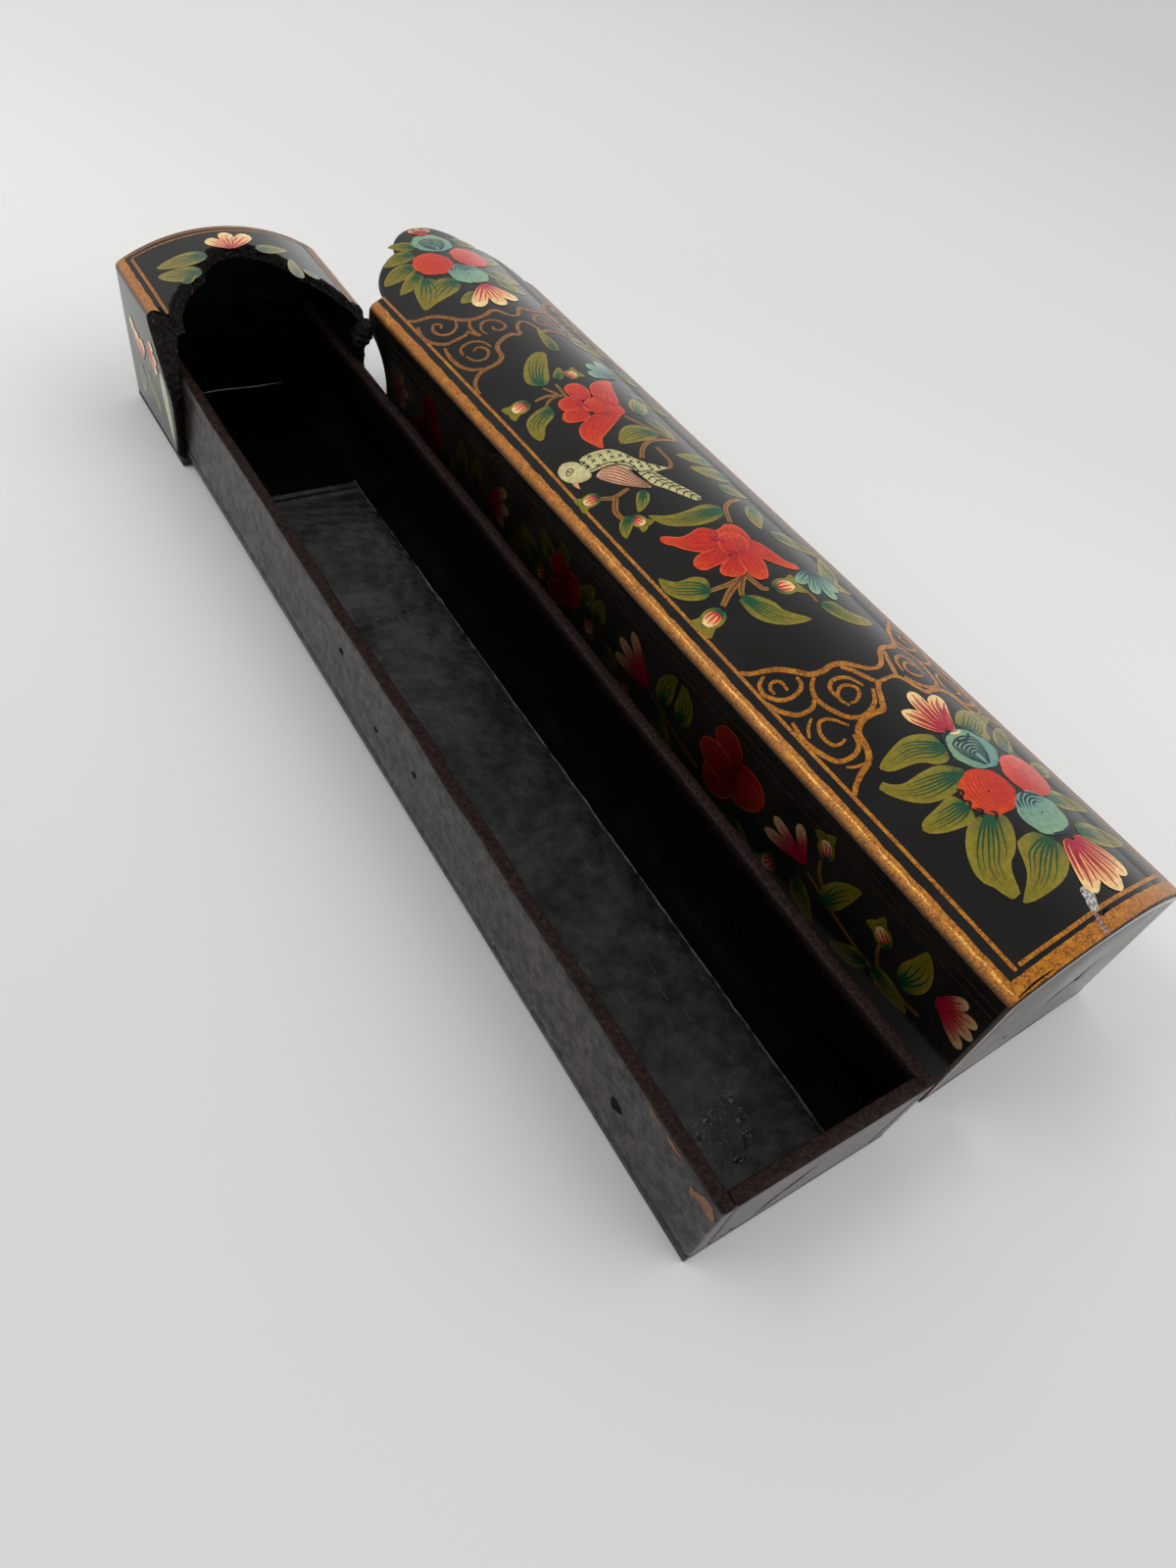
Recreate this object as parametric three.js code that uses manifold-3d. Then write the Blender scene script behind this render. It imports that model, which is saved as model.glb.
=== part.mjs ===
// Lacquered papier-mache pen box, opened: a drawer with a hood on its far end lies beside its sleeve.
// Both halves are built as such boxes are, from panels of pasted board that meet on thin glue lines.
// Millimetres, +Z up, +Y along the box away from the viewer, +X from the drawer towards the sleeve.

import * as THREE from 'three';
import { mergeVertices } from 'three/addons/utils/BufferGeometryUtils.js';
import Module from 'manifold-3d';

const wasm = await Module();
wasm.setup();

// Outer section shared by the sleeve and the hood, which is the sawn-off end of the same tube.
const SHELL_WIDTH = 49.6;
const EAVE_HEIGHT = 35.2;
const ARCH_RISE = 7.4;
const SHELL_WALL = 2.3;
const SHELL_BASE = 2.0;
const SHELL_END = 2.4;

// Lengths along the box.
const DRAWER_LENGTH = 250;
const HOOD_LENGTH = 32.8;

// The sleeve's tongue and the hood's cut-out: three lobes, one central and one at each side.
const TONGUE_LENGTH = 22;
const TONGUE_HALF_WIDTH = 21.3;
const CUSP_HALF_WIDTH = 11.4;
const CUSP_REACH = 12.8;
const SIDE_LOBE_BULGE = 2.3;

// A rounded notch in the sleeve's left side at its mouth: its two ends over the table and its depth.
const NOTCH_LOW = 4;
const NOTCH_HIGH = 29;
const NOTCH_DEPTH = 11.5;

// The tray.
const TRAY_HEIGHT = 21.6;
const TRAY_FLOOR = 2.2;
const TRAY_RIM = 2.6;
const TRAY_WALL_FOOT = 4.4;
const TRAY_END_WALL = 2.7;
const COVE_RADIUS = 5.6;
const COVE_EDGE = 0.5;
const LINING_THICKNESS = 0.5;
const LINING_SHORTFALL = 23;

// Fits.
const GLUE_LINE = 0.3;
const SIDE_CLEARANCE = 0.4;
const END_CLEARANCE = 0.4;
const CUT_CLEARANCE = 0.4;

// Where the sleeve lies on the table, measured from the drawer.
const SLEEVE_TURN_DEG = 1.9;
const SLEEVE_SIDE_GAP = 8.5;
const SLEEVE_SET_BACK = 1.4;

// Facets on the arch and on the tongue's lobes.
const ARCH_STEPS = 28;
const LOBE_STEPS = 10;
const COVE_STEPS = 6;

// Sizes that follow from the ones above.
const HALF_WIDTH = SHELL_WIDTH / 2;
const ARCH_RADIUS = (HALF_WIDTH ** 2 + ARCH_RISE ** 2) / (2 * ARCH_RISE);
const ARCH_CENTRE_Z = EAVE_HEIGHT + ARCH_RISE - ARCH_RADIUS;
const HOOD_FRONT = DRAWER_LENGTH - HOOD_LENGTH;
const SLEEVE_LENGTH = HOOD_FRONT + SHELL_END + END_CLEARANCE;
const TRAY_LEFT = SHELL_WALL + SIDE_CLEARANCE;
const TRAY_WIDTH = SHELL_WIDTH - 2 * TRAY_LEFT;
const TRAY_UNDERSIDE = SHELL_BASE + GLUE_LINE;
const TRAY_LENGTH = DRAWER_LENGTH - SHELL_END - GLUE_LINE;
const FLOOR_TOP = TRAY_UNDERSIDE + TRAY_FLOOR;
const RIM_TOP = TRAY_UNDERSIDE + TRAY_HEIGHT;
const DRAWER_TILT = Math.atan(TRAY_UNDERSIDE / HOOD_FRONT);

const MATERIALS = {
  paintedLacquer: new THREE.MeshStandardMaterial({ color: 0x14110f, roughness: 0.18, metalness: 0 }),
  blackLacquer: new THREE.MeshStandardMaterial({ color: 0x1a1614, roughness: 0.34, metalness: 0 }),
  trayWall: new THREE.MeshStandardMaterial({ color: 0x2b211d, roughness: 0.55, metalness: 0 }),
  lining: new THREE.MeshStandardMaterial({ color: 0x181514, roughness: 0.42, metalness: 0 }),
};

// Height of the arch over x, on the surface that lies inset below the outer one.
function archHeight(x, inset) {
  const radius = ARCH_RADIUS - inset;
  return ARCH_CENTRE_Z + Math.sqrt(radius ** 2 - (x - HALF_WIDTH) ** 2);
}

// Points on that surface from x0 to x1, lowered by a drop.
function archPoints(x0, x1, inset, drop = 0) {
  const count = Math.max(2, Math.ceil((ARCH_STEPS * Math.abs(x1 - x0)) / SHELL_WIDTH));
  const points = [];
  for (let i = 0; i <= count; i += 1) {
    const x = x0 + ((x1 - x0) * i) / count;
    points.push([x, archHeight(x, inset) - drop]);
  }
  return points;
}

// Points on the circle arc from a to b that bulges to the right of that direction.
function lobePoints(a, b, bulge) {
  const chord = Math.hypot(b[0] - a[0], b[1] - a[1]);
  const radius = (chord ** 2 / 4 + bulge ** 2) / (2 * bulge);
  const halfAngle = Math.asin(chord / 2 / radius);
  const along = [(b[0] - a[0]) / chord, (b[1] - a[1]) / chord];
  const out = [along[1], -along[0]];
  const middle = [(a[0] + b[0]) / 2, (a[1] + b[1]) / 2];
  const centre = [middle[0] - out[0] * (radius - bulge), middle[1] - out[1] * (radius - bulge)];
  const points = [];
  for (let i = 0; i <= LOBE_STEPS; i += 1) {
    const angle = halfAngle * ((2 * i) / LOBE_STEPS - 1);
    const side = radius * Math.sin(angle);
    const rise = radius * Math.cos(angle);
    points.push([
      centre[0] + along[0] * side + out[0] * rise,
      centre[1] + along[1] * side + out[1] * rise,
    ]);
  }
  return points;
}

// The tongue's outline in plan, from its right root over the tip to its left root, widened by a clearance.
function tongueOutline(rootY, clearance) {
  const root = HALF_WIDTH + TONGUE_HALF_WIDTH + clearance;
  const cusp = HALF_WIDTH + CUSP_HALF_WIDTH + clearance;
  const cuspY = rootY + CUSP_REACH + clearance;
  const tipY = rootY + TONGUE_LENGTH + clearance;
  const right = lobePoints([root, rootY], [cusp, cuspY], SIDE_LOBE_BULGE);
  const middle = lobePoints([cusp, cuspY], [SHELL_WIDTH - cusp, cuspY], tipY - cuspY);
  const left = right.map(([x, y]) => [SHELL_WIDTH - x, y]).reverse();
  return [...right, ...middle.slice(1, -1), ...left];
}

function shapeOf(points) {
  return new THREE.Shape(points.map(([a, b]) => new THREE.Vector2(a, b)));
}

// A section drawn in X and Z, run along Y from y0 to y1.
function alongY(points, y0, y1) {
  const geometry = new THREE.ExtrudeGeometry(shapeOf(points), { depth: y1 - y0, bevelEnabled: false });
  return geometry.rotateX(Math.PI / 2).translate(0, y1, 0);
}

// A plan outline drawn in X and Y, run up Z from z0 to z1.
function upZ(points, z0, z1) {
  const geometry = new THREE.ExtrudeGeometry(shapeOf(points), { depth: z1 - z0, bevelEnabled: false });
  return geometry.translate(0, 0, z0);
}

// An outline drawn in Y and Z, run along X from x0 to x1.
function alongX(points, x0, x1) {
  const geometry = new THREE.ExtrudeGeometry(shapeOf(points), { depth: x1 - x0, bevelEnabled: false });
  const turn = new THREE.Matrix4().set(0, 0, 1, 0, 1, 0, 0, 0, 0, 1, 0, 0, 0, 0, 0, 1);
  return geometry.applyMatrix4(turn).translate(x0, 0, 0);
}

function box(x0, x1, y0, y1, z0, z1) {
  const geometry = new THREE.BoxGeometry(x1 - x0, y1 - y0, z1 - z0);
  return geometry.translate((x0 + x1) / 2, (y0 + y1) / 2, (z0 + z1) / 2);
}

function toSolid(geometry) {
  const bare = geometry.clone();
  bare.deleteAttribute('normal');
  bare.deleteAttribute('uv');
  const merged = mergeVertices(bare, 1e-4);
  return new wasm.Manifold(new wasm.Mesh({
    numProp: 3,
    vertProperties: new Float32Array(merged.attributes.position.array),
    triVerts: new Uint32Array(merged.index.array),
  }));
}

function toGeometry(solid) {
  const mesh = solid.getMesh();
  const geometry = new THREE.BufferGeometry();
  geometry.setAttribute('position', new THREE.BufferAttribute(new Float32Array(mesh.vertProperties), 3));
  geometry.setIndex(new THREE.BufferAttribute(new Uint32Array(mesh.triVerts), 1));
  geometry.computeVertexNormals();
  return geometry;
}

function piece(name, geometry, material) {
  const mesh = new THREE.Mesh(geometry, material);
  mesh.name = name;
  return mesh;
}

// Panels that the sleeve and the hood share, between two places along Y.

function archPanel(y0, y1) {
  const section = [
    ...archPoints(0, SHELL_WIDTH, SHELL_WALL),
    ...archPoints(SHELL_WIDTH, 0, 0),
  ];
  return alongY(section, y0, y1);
}

function sidePanel(x0, x1, y0, y1) {
  const foot = SHELL_BASE + GLUE_LINE;
  const top = archPoints(x1, x0, SHELL_WALL, GLUE_LINE);
  return alongY([[x0, foot], [x1, foot], ...top], y0, y1);
}

function endPanel(y0, y1) {
  const left = SHELL_WALL + GLUE_LINE;
  const right = SHELL_WIDTH - left;
  const foot = SHELL_BASE + GLUE_LINE;
  return alongY([[left, foot], [right, foot], ...archPoints(right, left, SHELL_WALL, GLUE_LINE)], y0, y1);
}

function basePanel(y0, y1) {
  return box(0, SHELL_WIDTH, y0, y1, 0, SHELL_BASE);
}

// The sleeve, with its near end closed and its tongue at the open far end.
function buildSleeve() {
  const sleeve = new THREE.Group();
  const painted = MATERIALS.paintedLacquer;
  const black = MATERIALS.blackLacquer;
  const plan = [
    [0, 0],
    [SHELL_WIDTH, 0],
    [SHELL_WIDTH, SLEEVE_LENGTH],
    ...tongueOutline(SLEEVE_LENGTH, 0),
    [0, SLEEVE_LENGTH],
  ];
  const reach = SLEEVE_LENGTH + TONGUE_LENGTH;
  const keep = toSolid(upZ(plan, 0, EAVE_HEIGHT + ARCH_RISE + 1));
  const top = toSolid(archPanel(0, reach)).intersect(keep);
  sleeve.add(piece('sleeve_top', toGeometry(top), painted));
  const notch = [
    [SLEEVE_LENGTH + 1, NOTCH_LOW],
    [SLEEVE_LENGTH + 1, NOTCH_HIGH],
    ...lobePoints([SLEEVE_LENGTH, NOTCH_HIGH], [SLEEVE_LENGTH, NOTCH_LOW], NOTCH_DEPTH),
  ];
  const left = toSolid(sidePanel(0, SHELL_WALL, 0, SLEEVE_LENGTH))
    .subtract(toSolid(alongX(notch, -1, SHELL_WALL + 1)));
  sleeve.add(piece('sleeve_left_side', toGeometry(left), painted));
  sleeve.add(piece('sleeve_right_side',
    sidePanel(SHELL_WIDTH - SHELL_WALL, SHELL_WIDTH, 0, SLEEVE_LENGTH), painted));
  sleeve.add(piece('sleeve_end_panel', endPanel(0, SHELL_END), painted));
  sleeve.add(piece('sleeve_base', basePanel(0, SLEEVE_LENGTH), black));
  return sleeve;
}

// The hood over the tray's far end, cut to take the tongue.
function buildHood() {
  const hood = new THREE.Group();
  const painted = MATERIALS.paintedLacquer;
  const black = MATERIALS.blackLacquer;
  const cutPlan = [
    [HALF_WIDTH - TONGUE_HALF_WIDTH - CUT_CLEARANCE, HOOD_FRONT - 1],
    [HALF_WIDTH + TONGUE_HALF_WIDTH + CUT_CLEARANCE, HOOD_FRONT - 1],
    ...tongueOutline(HOOD_FRONT, CUT_CLEARANCE),
  ];
  const cut = toSolid(upZ(cutPlan, 0, EAVE_HEIGHT + ARCH_RISE + 1));
  const top = toSolid(archPanel(HOOD_FRONT, DRAWER_LENGTH)).subtract(cut);
  hood.add(piece('hood_top', toGeometry(top), painted));
  hood.add(piece('hood_left_side', sidePanel(0, SHELL_WALL, HOOD_FRONT, DRAWER_LENGTH), painted));
  hood.add(piece('hood_right_side',
    sidePanel(SHELL_WIDTH - SHELL_WALL, SHELL_WIDTH, HOOD_FRONT, DRAWER_LENGTH), painted));
  hood.add(piece('hood_end_panel', endPanel(DRAWER_LENGTH - SHELL_END, DRAWER_LENGTH), painted));
  hood.add(piece('hood_base', basePanel(HOOD_FRONT, DRAWER_LENGTH), black));
  return hood;
}

// A tray side: upright outside, leaning back inside from a thick foot to the thin rim.
function traySide(toRight) {
  const foot = FLOOR_TOP + GLUE_LINE;
  const section = [
    [0, foot],
    [TRAY_WALL_FOOT, foot],
    [TRAY_RIM, RIM_TOP],
    [0, RIM_TOP],
  ];
  const placed = toRight
    ? section.map(([x, z]) => [TRAY_LEFT + TRAY_WIDTH - x, z]).reverse()
    : section.map(([x, z]) => [TRAY_LEFT + x, z]);
  return alongY(placed, 0, TRAY_LENGTH);
}

// A cross wall between the two sides, cut to their lean.
function trayCrossWall(y0, y1) {
  const foot = FLOOR_TOP + GLUE_LINE;
  const left = TRAY_LEFT + TRAY_WALL_FOOT + GLUE_LINE;
  const leftTop = TRAY_LEFT + TRAY_RIM + GLUE_LINE;
  return alongY([
    [left, foot],
    [SHELL_WIDTH - left, foot],
    [SHELL_WIDTH - leftTop, RIM_TOP],
    [leftTop, RIM_TOP],
  ], y0, y1);
}

// A strip of pulp that rounds the long inside corner between the floor and a side.
function trayCove(toRight) {
  const left = TRAY_LEFT + TRAY_WALL_FOOT + GLUE_LINE;
  const foot = FLOOR_TOP + GLUE_LINE;
  const lean = (TRAY_WALL_FOOT - TRAY_RIM) / (RIM_TOP - FLOOR_TOP - GLUE_LINE);
  const reach = COVE_EDGE + COVE_RADIUS;
  const section = [[left, foot], [left + reach, foot]];
  for (let i = 0; i <= COVE_STEPS; i += 1) {
    const angle = (Math.PI / 2) * (i / COVE_STEPS);
    const x = reach - COVE_RADIUS * Math.sin(angle);
    const z = reach - COVE_RADIUS * Math.cos(angle);
    section.push([left + x - lean * z, foot + z]);
  }
  section.push([left - lean * reach, foot + reach]);
  const placed = toRight ? section.map(([x, z]) => [SHELL_WIDTH - x, z]).reverse() : section;
  const inset = TRAY_END_WALL + GLUE_LINE;
  return alongY(placed, inset, TRAY_LENGTH - inset);
}

// The lining starts at the near end and stops a little short of the hood.
function trayLining() {
  const left = TRAY_LEFT + TRAY_WALL_FOOT + 2 * GLUE_LINE + COVE_EDGE + COVE_RADIUS;
  const near = TRAY_END_WALL + GLUE_LINE;
  const far = HOOD_FRONT - LINING_SHORTFALL;
  const foot = FLOOR_TOP + GLUE_LINE;
  return box(left, SHELL_WIDTH - left, near, far, foot, foot + LINING_THICKNESS);
}

function buildTray() {
  const tray = new THREE.Group();
  const wall = MATERIALS.trayWall;
  const black = MATERIALS.blackLacquer;
  const right = TRAY_LEFT + TRAY_WIDTH;
  tray.add(piece('tray_floor', box(TRAY_LEFT, right, 0, TRAY_LENGTH, TRAY_UNDERSIDE, FLOOR_TOP), black));
  tray.add(piece('tray_left_side', traySide(false), wall));
  tray.add(piece('tray_right_side', traySide(true), wall));
  tray.add(piece('tray_near_end', trayCrossWall(0, TRAY_END_WALL), wall));
  tray.add(piece('tray_far_end', trayCrossWall(TRAY_LENGTH - TRAY_END_WALL, TRAY_LENGTH), black));
  tray.add(piece('tray_left_cove', trayCove(false), black));
  tray.add(piece('tray_right_cove', trayCove(true), black));
  tray.add(piece('tray_lining', trayLining(), MATERIALS.lining));
  return tray;
}

// The drawer leans a little: it rests on the tray's near edge and on the hood's front edge.
const drawer = new THREE.Group();
const drawerPieces = new THREE.Group();
drawerPieces.add(buildHood(), buildTray());
drawerPieces.position.z = -TRAY_UNDERSIDE;
drawer.add(drawerPieces);
drawer.rotation.x = DRAWER_TILT;

const sleeve = buildSleeve();
sleeve.position.set(SHELL_WIDTH + SLEEVE_SIDE_GAP, SLEEVE_SET_BACK, 0);
sleeve.rotation.z = THREE.MathUtils.degToRad(SLEEVE_TURN_DEG);

// The origin lies on the table, under the middle of the whole object.
const pair = new THREE.Group();
pair.add(drawer, sleeve);
pair.updateMatrixWorld(true);
const extent = new THREE.Box3().setFromObject(pair, true);
pair.position.set(-(extent.min.x + extent.max.x) / 2, -(extent.min.y + extent.max.y) / 2, -extent.min.z);

const group = new THREE.Group();
group.add(pair);

export default group;
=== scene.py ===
import math

import bmesh
import bpy
import numpy as np
from mathutils import Matrix, Vector


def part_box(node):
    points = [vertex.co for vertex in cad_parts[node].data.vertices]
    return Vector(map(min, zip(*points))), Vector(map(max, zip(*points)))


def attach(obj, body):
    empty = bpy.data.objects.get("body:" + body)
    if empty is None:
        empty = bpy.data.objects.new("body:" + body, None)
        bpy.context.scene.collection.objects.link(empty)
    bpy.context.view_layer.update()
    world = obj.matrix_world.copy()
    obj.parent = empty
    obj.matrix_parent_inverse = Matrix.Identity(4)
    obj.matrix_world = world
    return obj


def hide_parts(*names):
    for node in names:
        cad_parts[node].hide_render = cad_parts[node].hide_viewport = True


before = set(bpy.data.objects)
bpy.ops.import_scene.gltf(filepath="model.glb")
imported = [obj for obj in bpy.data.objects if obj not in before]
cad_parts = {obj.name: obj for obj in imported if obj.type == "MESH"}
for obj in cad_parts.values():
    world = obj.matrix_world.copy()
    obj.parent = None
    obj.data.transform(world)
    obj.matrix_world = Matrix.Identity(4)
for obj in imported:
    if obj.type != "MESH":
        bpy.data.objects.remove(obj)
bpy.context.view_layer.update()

# Driving sizes in millimetres. Each half is drawn in its own space: x across from the left outer face,
# y along from the near end, z up from the underside, and s is the arc from the crown over the outer section.
MM = 0.001
WIDTH = 49.6
EAVE_HEIGHT = 35.2
ARCH_RISE = 7.4
EAVE_ROUND = 2.5
WALL = 2.3
BASE = 2.0
END_WALL = 2.4
DRAWER_LENGTH = 250.0
HOOD_FRONT = 217.2
SLEEVE_LENGTH = 220.0
TONGUE_LENGTH = 22.0
TONGUE_HALF_WIDTH = 21.3
CUSP_HALF_WIDTH = 11.4
CUSP_REACH = 12.8
SIDE_LOBE_BULGE = 2.3
CUT_CLEARANCE = 0.4
CUT_SLANT = 1.6
NOTCH_LOW = 4.0
NOTCH_HIGH = 29.0
NOTCH_DEPTH = 11.5
TRAY_LEFT = 2.7
TRAY_RIGHT = WIDTH - TRAY_LEFT
TRAY_UNDERSIDE = 2.3
TRAY_TOP = 23.9
TRAY_LENGTH = 247.3
TRAY_FLOOR_TOP = 4.5
TRAY_RIM = 2.6
TRAY_FOOT = 4.4
TRAY_END_WALL = 2.7
RIM_SPREAD = 1.0
COVE = 6.1
COVE_EDGE = 0.3
LINING_END = 194.2
LINING_TOP = 5.0
LEAN_EAVE = -1.4
LEAN_FOOT = 1.4
LEAN_RIGHT = -0.7
SLEEVE_TURN = math.radians(1.9)

# How finely shapes are divided and how uneven the hand-laid faces are.
LOBE_STEPS = 14
SHELL_ROWS = 70
HOOD_ROWS = 24
CREASE = 38
SWAY = 0.09
SWAY_SIZE = 34.0
TRAY_UNEVEN = 0.16
TRAY_STEP = 2.5
WAVES = 7
CLOSED_STEPS = 5
ACROSS = 6
ALONG = 14

HALF = WIDTH / 2
RADIUS = (HALF ** 2 + ARCH_RISE ** 2) / (2 * ARCH_RISE)
CENTRE_Z = EAVE_HEIGHT + ARCH_RISE - RADIUS
EAVE_ANGLE = math.asin(HALF / RADIUS)
ROUND_TURN = math.pi / 2 - EAVE_ANGLE
ARCH_END = RADIUS * EAVE_ANGLE - EAVE_ROUND * math.tan(ROUND_TURN / 2)
SIDE_START = ARCH_END + EAVE_ROUND * ROUND_TURN
SIDE_START_Z = EAVE_HEIGHT - EAVE_ROUND * math.tan(ROUND_TURN / 2)
TOP_EDGE_Z = CENTRE_Z + math.sqrt((RADIUS - WALL) ** 2 - HALF ** 2)
TOP_EDGE = SIDE_START + SIDE_START_Z - TOP_EDGE_Z
SIDE_FOOT = SIDE_START + SIDE_START_Z - BASE


def srgb(red, green, blue):
    """A colour written as it looks, 0 to 255, as linear values."""
    values = np.array([red, green, blue]) / 255
    return np.where(values <= 0.04045, values / 12.92, ((values + 0.055) / 1.055) ** 2.4)


GOLD = srgb(182, 112, 18)
GOLD_DEEP = srgb(116, 66, 12)
GOLD_LIGHT = srgb(206, 142, 34)
OLIVE = srgb(124, 111, 28)
OLIVE_LIGHT = srgb(146, 132, 50)
LEAF_DARK = srgb(18, 74, 46)
RED = srgb(190, 38, 16)
RED_ORANGE = srgb(206, 68, 20)
RED_LIGHT = srgb(212, 80, 44)
RED_PINK = srgb(214, 84, 66)
RED_DEEP = srgb(166, 24, 26)
CRIMSON = srgb(168, 16, 50)
CREAM = srgb(238, 208, 148)
PEACH = srgb(234, 160, 100)
BROWN = srgb(104, 48, 30)
TEAL = srgb(98, 142, 130)
TEAL_PALE = srgb(124, 156, 122)
TEAL_DARK = srgb(16, 44, 58)
BRANCH = srgb(140, 98, 42)
BIRD = srgb(196, 188, 134)
BIRD_HEAD = srgb(200, 190, 138)
BIRD_PINK = srgb(216, 158, 124)
INK = srgb(16, 16, 14)
WHOLE = np.ones(3)
# How much brighter than the gold the painted highlight on the band's arris is.
PAINTED_HIGHLIGHT = np.array([1.9, 2.7, 9.0])


def half_matrices():
    """Where the two halves lie, read off the frame."""
    tilt = math.atan(TRAY_UNDERSIDE / HOOD_FRONT)
    x0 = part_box("hood_base")[0].x
    floor_thickness = (TRAY_FLOOR_TOP - TRAY_UNDERSIDE) * MM
    y0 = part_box("tray_floor")[0].y + floor_thickness * math.sin(tilt)
    drawer = Matrix.Translation((x0, y0, 0)) @ Matrix.Rotation(tilt, 4, "X")
    drawer = drawer @ Matrix.Translation((0, 0, -TRAY_UNDERSIDE * MM))
    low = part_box("sleeve_base")[0]
    x1 = low.x + SLEEVE_LENGTH * MM * math.sin(SLEEVE_TURN)
    sleeve = Matrix.Translation((x1, low.y, 0)) @ Matrix.Rotation(SLEEVE_TURN, 4, "Z")
    return {"drawer": np.array(drawer), "sleeve": np.array(sleeve)}


MATRICES = half_matrices()


def place(points, body):
    """Points in a half's own millimetres, as metres in the frame."""
    matrix = MATRICES[body]
    return (np.asarray(points, float) * MM) @ matrix[:3, :3].T + matrix[:3, 3]


def ripple(a, b, size, seed):
    """A smooth unevenness from -1 to 1 with features of about a size, the same on every run."""
    rng = np.random.default_rng(seed)
    total = np.zeros(np.broadcast(a, b).shape)
    for _ in range(WAVES):
        angle = rng.uniform(0, 2 * np.pi)
        k = 2 * np.pi / (size * rng.uniform(0.7, 1.6))
        total = total + np.sin(k * (a * np.cos(angle) + b * np.sin(angle)) + rng.uniform(0, 2 * np.pi))
    return total / WAVES * 1.6


def section(s, lift):
    """x and z on the outer section at s, raised along the outward normal."""
    s = np.asarray(s, float)
    side = np.where(s < 0, -1.0, 1.0)
    a = np.abs(s)
    start = ARCH_END / RADIUS
    angle = np.where(a < ARCH_END, a / RADIUS, start + np.clip(a - ARCH_END, 0, None) / EAVE_ROUND)
    angle = np.minimum(angle, np.pi / 2)
    bend = np.clip(angle, start, None)
    x = RADIUS * np.sin(np.minimum(angle, start)) + EAVE_ROUND * (np.sin(bend) - math.sin(start))
    z = CENTRE_Z + RADIUS * np.cos(np.minimum(angle, start)) + EAVE_ROUND * (np.cos(bend) - math.cos(start))
    z = z - np.clip(a - SIDE_START, 0, None)
    return HALF + side * (x + lift * np.sin(angle)), z + lift * np.cos(angle)


def lean(x, z):
    """How far the hood's outer face stands off to the side: its left wall overhangs its foot."""
    height = np.clip(z / EAVE_HEIGHT, 0, 1)
    across = np.clip(x / WIDTH, 0, 1)
    left = LEAN_FOOT + (LEAN_EAVE - LEAN_FOOT) * height
    return left * (1 - across) + LEAN_RIGHT * height * across


def wall_points(s, y, lift, body):
    """Points in the wall of a half at s and y, from the outer face at 0 down to the inner at -WALL."""
    x, z = section(s, lift)
    if body == "drawer":
        x = x + lean(x, z) * np.clip(1 + np.asarray(lift) / WALL, 0, 1)
    return np.stack([x, y + 0 * x, z], -1)


def on_section(s, y, lift, body):
    """Points on the outer face of a half, which is a little uneven as a hand-laid face is."""
    sway = SWAY * (ripple(s, y, SWAY_SIZE, 11) - 1.0)
    return wall_points(s, y, lift + sway, body)


def lobe(a, b, bulge):
    """Points on the arc from a to b that bulges to the right of that direction."""
    a, b = np.array(a, float), np.array(b, float)
    chord = np.hypot(*(b - a))
    radius = (chord ** 2 / 4 + bulge ** 2) / (2 * bulge)
    along = (b - a) / chord
    out = np.array([along[1], -along[0]])
    centre = (a + b) / 2 - out * (radius - bulge)
    angles = math.asin(chord / 2 / radius) * np.linspace(-1, 1, LOBE_STEPS + 1)
    return [centre + along * radius * math.sin(t) + out * radius * math.cos(t) for t in angles]


def tongue_edge(root_y, clearance):
    """The three lobes from left to right as arrays of s and y."""
    root = TONGUE_HALF_WIDTH + clearance
    cusp = CUSP_HALF_WIDTH + clearance
    cusp_y = root_y + CUSP_REACH + clearance
    tip_y = root_y + TONGUE_LENGTH + clearance
    right = lobe((root, root_y), (cusp, cusp_y), SIDE_LOBE_BULGE)
    middle = lobe((cusp, cusp_y), (-cusp, cusp_y), tip_y - cusp_y)
    points = np.array(right + middle[1:-1] + [p * (-1, 1) for p in reversed(right)])[::-1]
    return RADIUS * np.arcsin(points[:, 0] / RADIUS), points[:, 1]


def notch_reach(z):
    """How far the notch at the sleeve's mouth runs into its left wall at a height."""
    half = (NOTCH_HIGH - NOTCH_LOW) / 2
    radius = (half ** 2 + NOTCH_DEPTH ** 2) / (2 * NOTCH_DEPTH)
    up = np.clip(np.abs(z - (NOTCH_HIGH + NOTCH_LOW) / 2), 0, half)
    return np.sqrt(radius ** 2 - up ** 2) - (radius - NOTCH_DEPTH)


def put(name, data):
    """A new object in the scene."""
    obj = bpy.data.objects.new(name, data)
    bpy.context.scene.collection.objects.link(obj)
    return obj


def new_object(name, points, faces, body, materials, stands_for=(), crease=CREASE, indices=None):
    """An object from points in a half's millimetres, riding on its body."""
    mesh = bpy.data.meshes.new(name)
    mesh.from_pydata([tuple(p) for p in place(points, body)], [], [tuple(int(i) for i in f) for f in faces])
    for material in materials:
        mesh.materials.append(material)
    if indices is not None:
        mesh.polygons.foreach_set("material_index", np.asarray(indices, np.int32))
    mesh.validate()
    obj = put(name, mesh)
    mesh.shade_smooth()
    mesh.set_sharp_from_angle(angle=math.radians(crease))
    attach(obj, body)
    if stands_for:
        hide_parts(*stands_for)
    return obj


def set_values(mesh, name, values):
    """A number for each vertex, which the materials read."""
    mesh.attributes.new(name, "FLOAT", "POINT").data.foreach_set("value", np.asarray(values, np.float32))


def grid_faces(rows, columns, start=0, flip=False):
    """The quads of a grid of points, numbered from start."""
    index = start + np.arange(rows * columns).reshape(rows, columns)
    corners = [index[:-1, :-1], index[:-1, 1:], index[1:, 1:], index[1:, :-1]]
    faces = np.stack([c.ravel() for c in corners], -1)
    return faces[:, ::-1] if flip else faces


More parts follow.
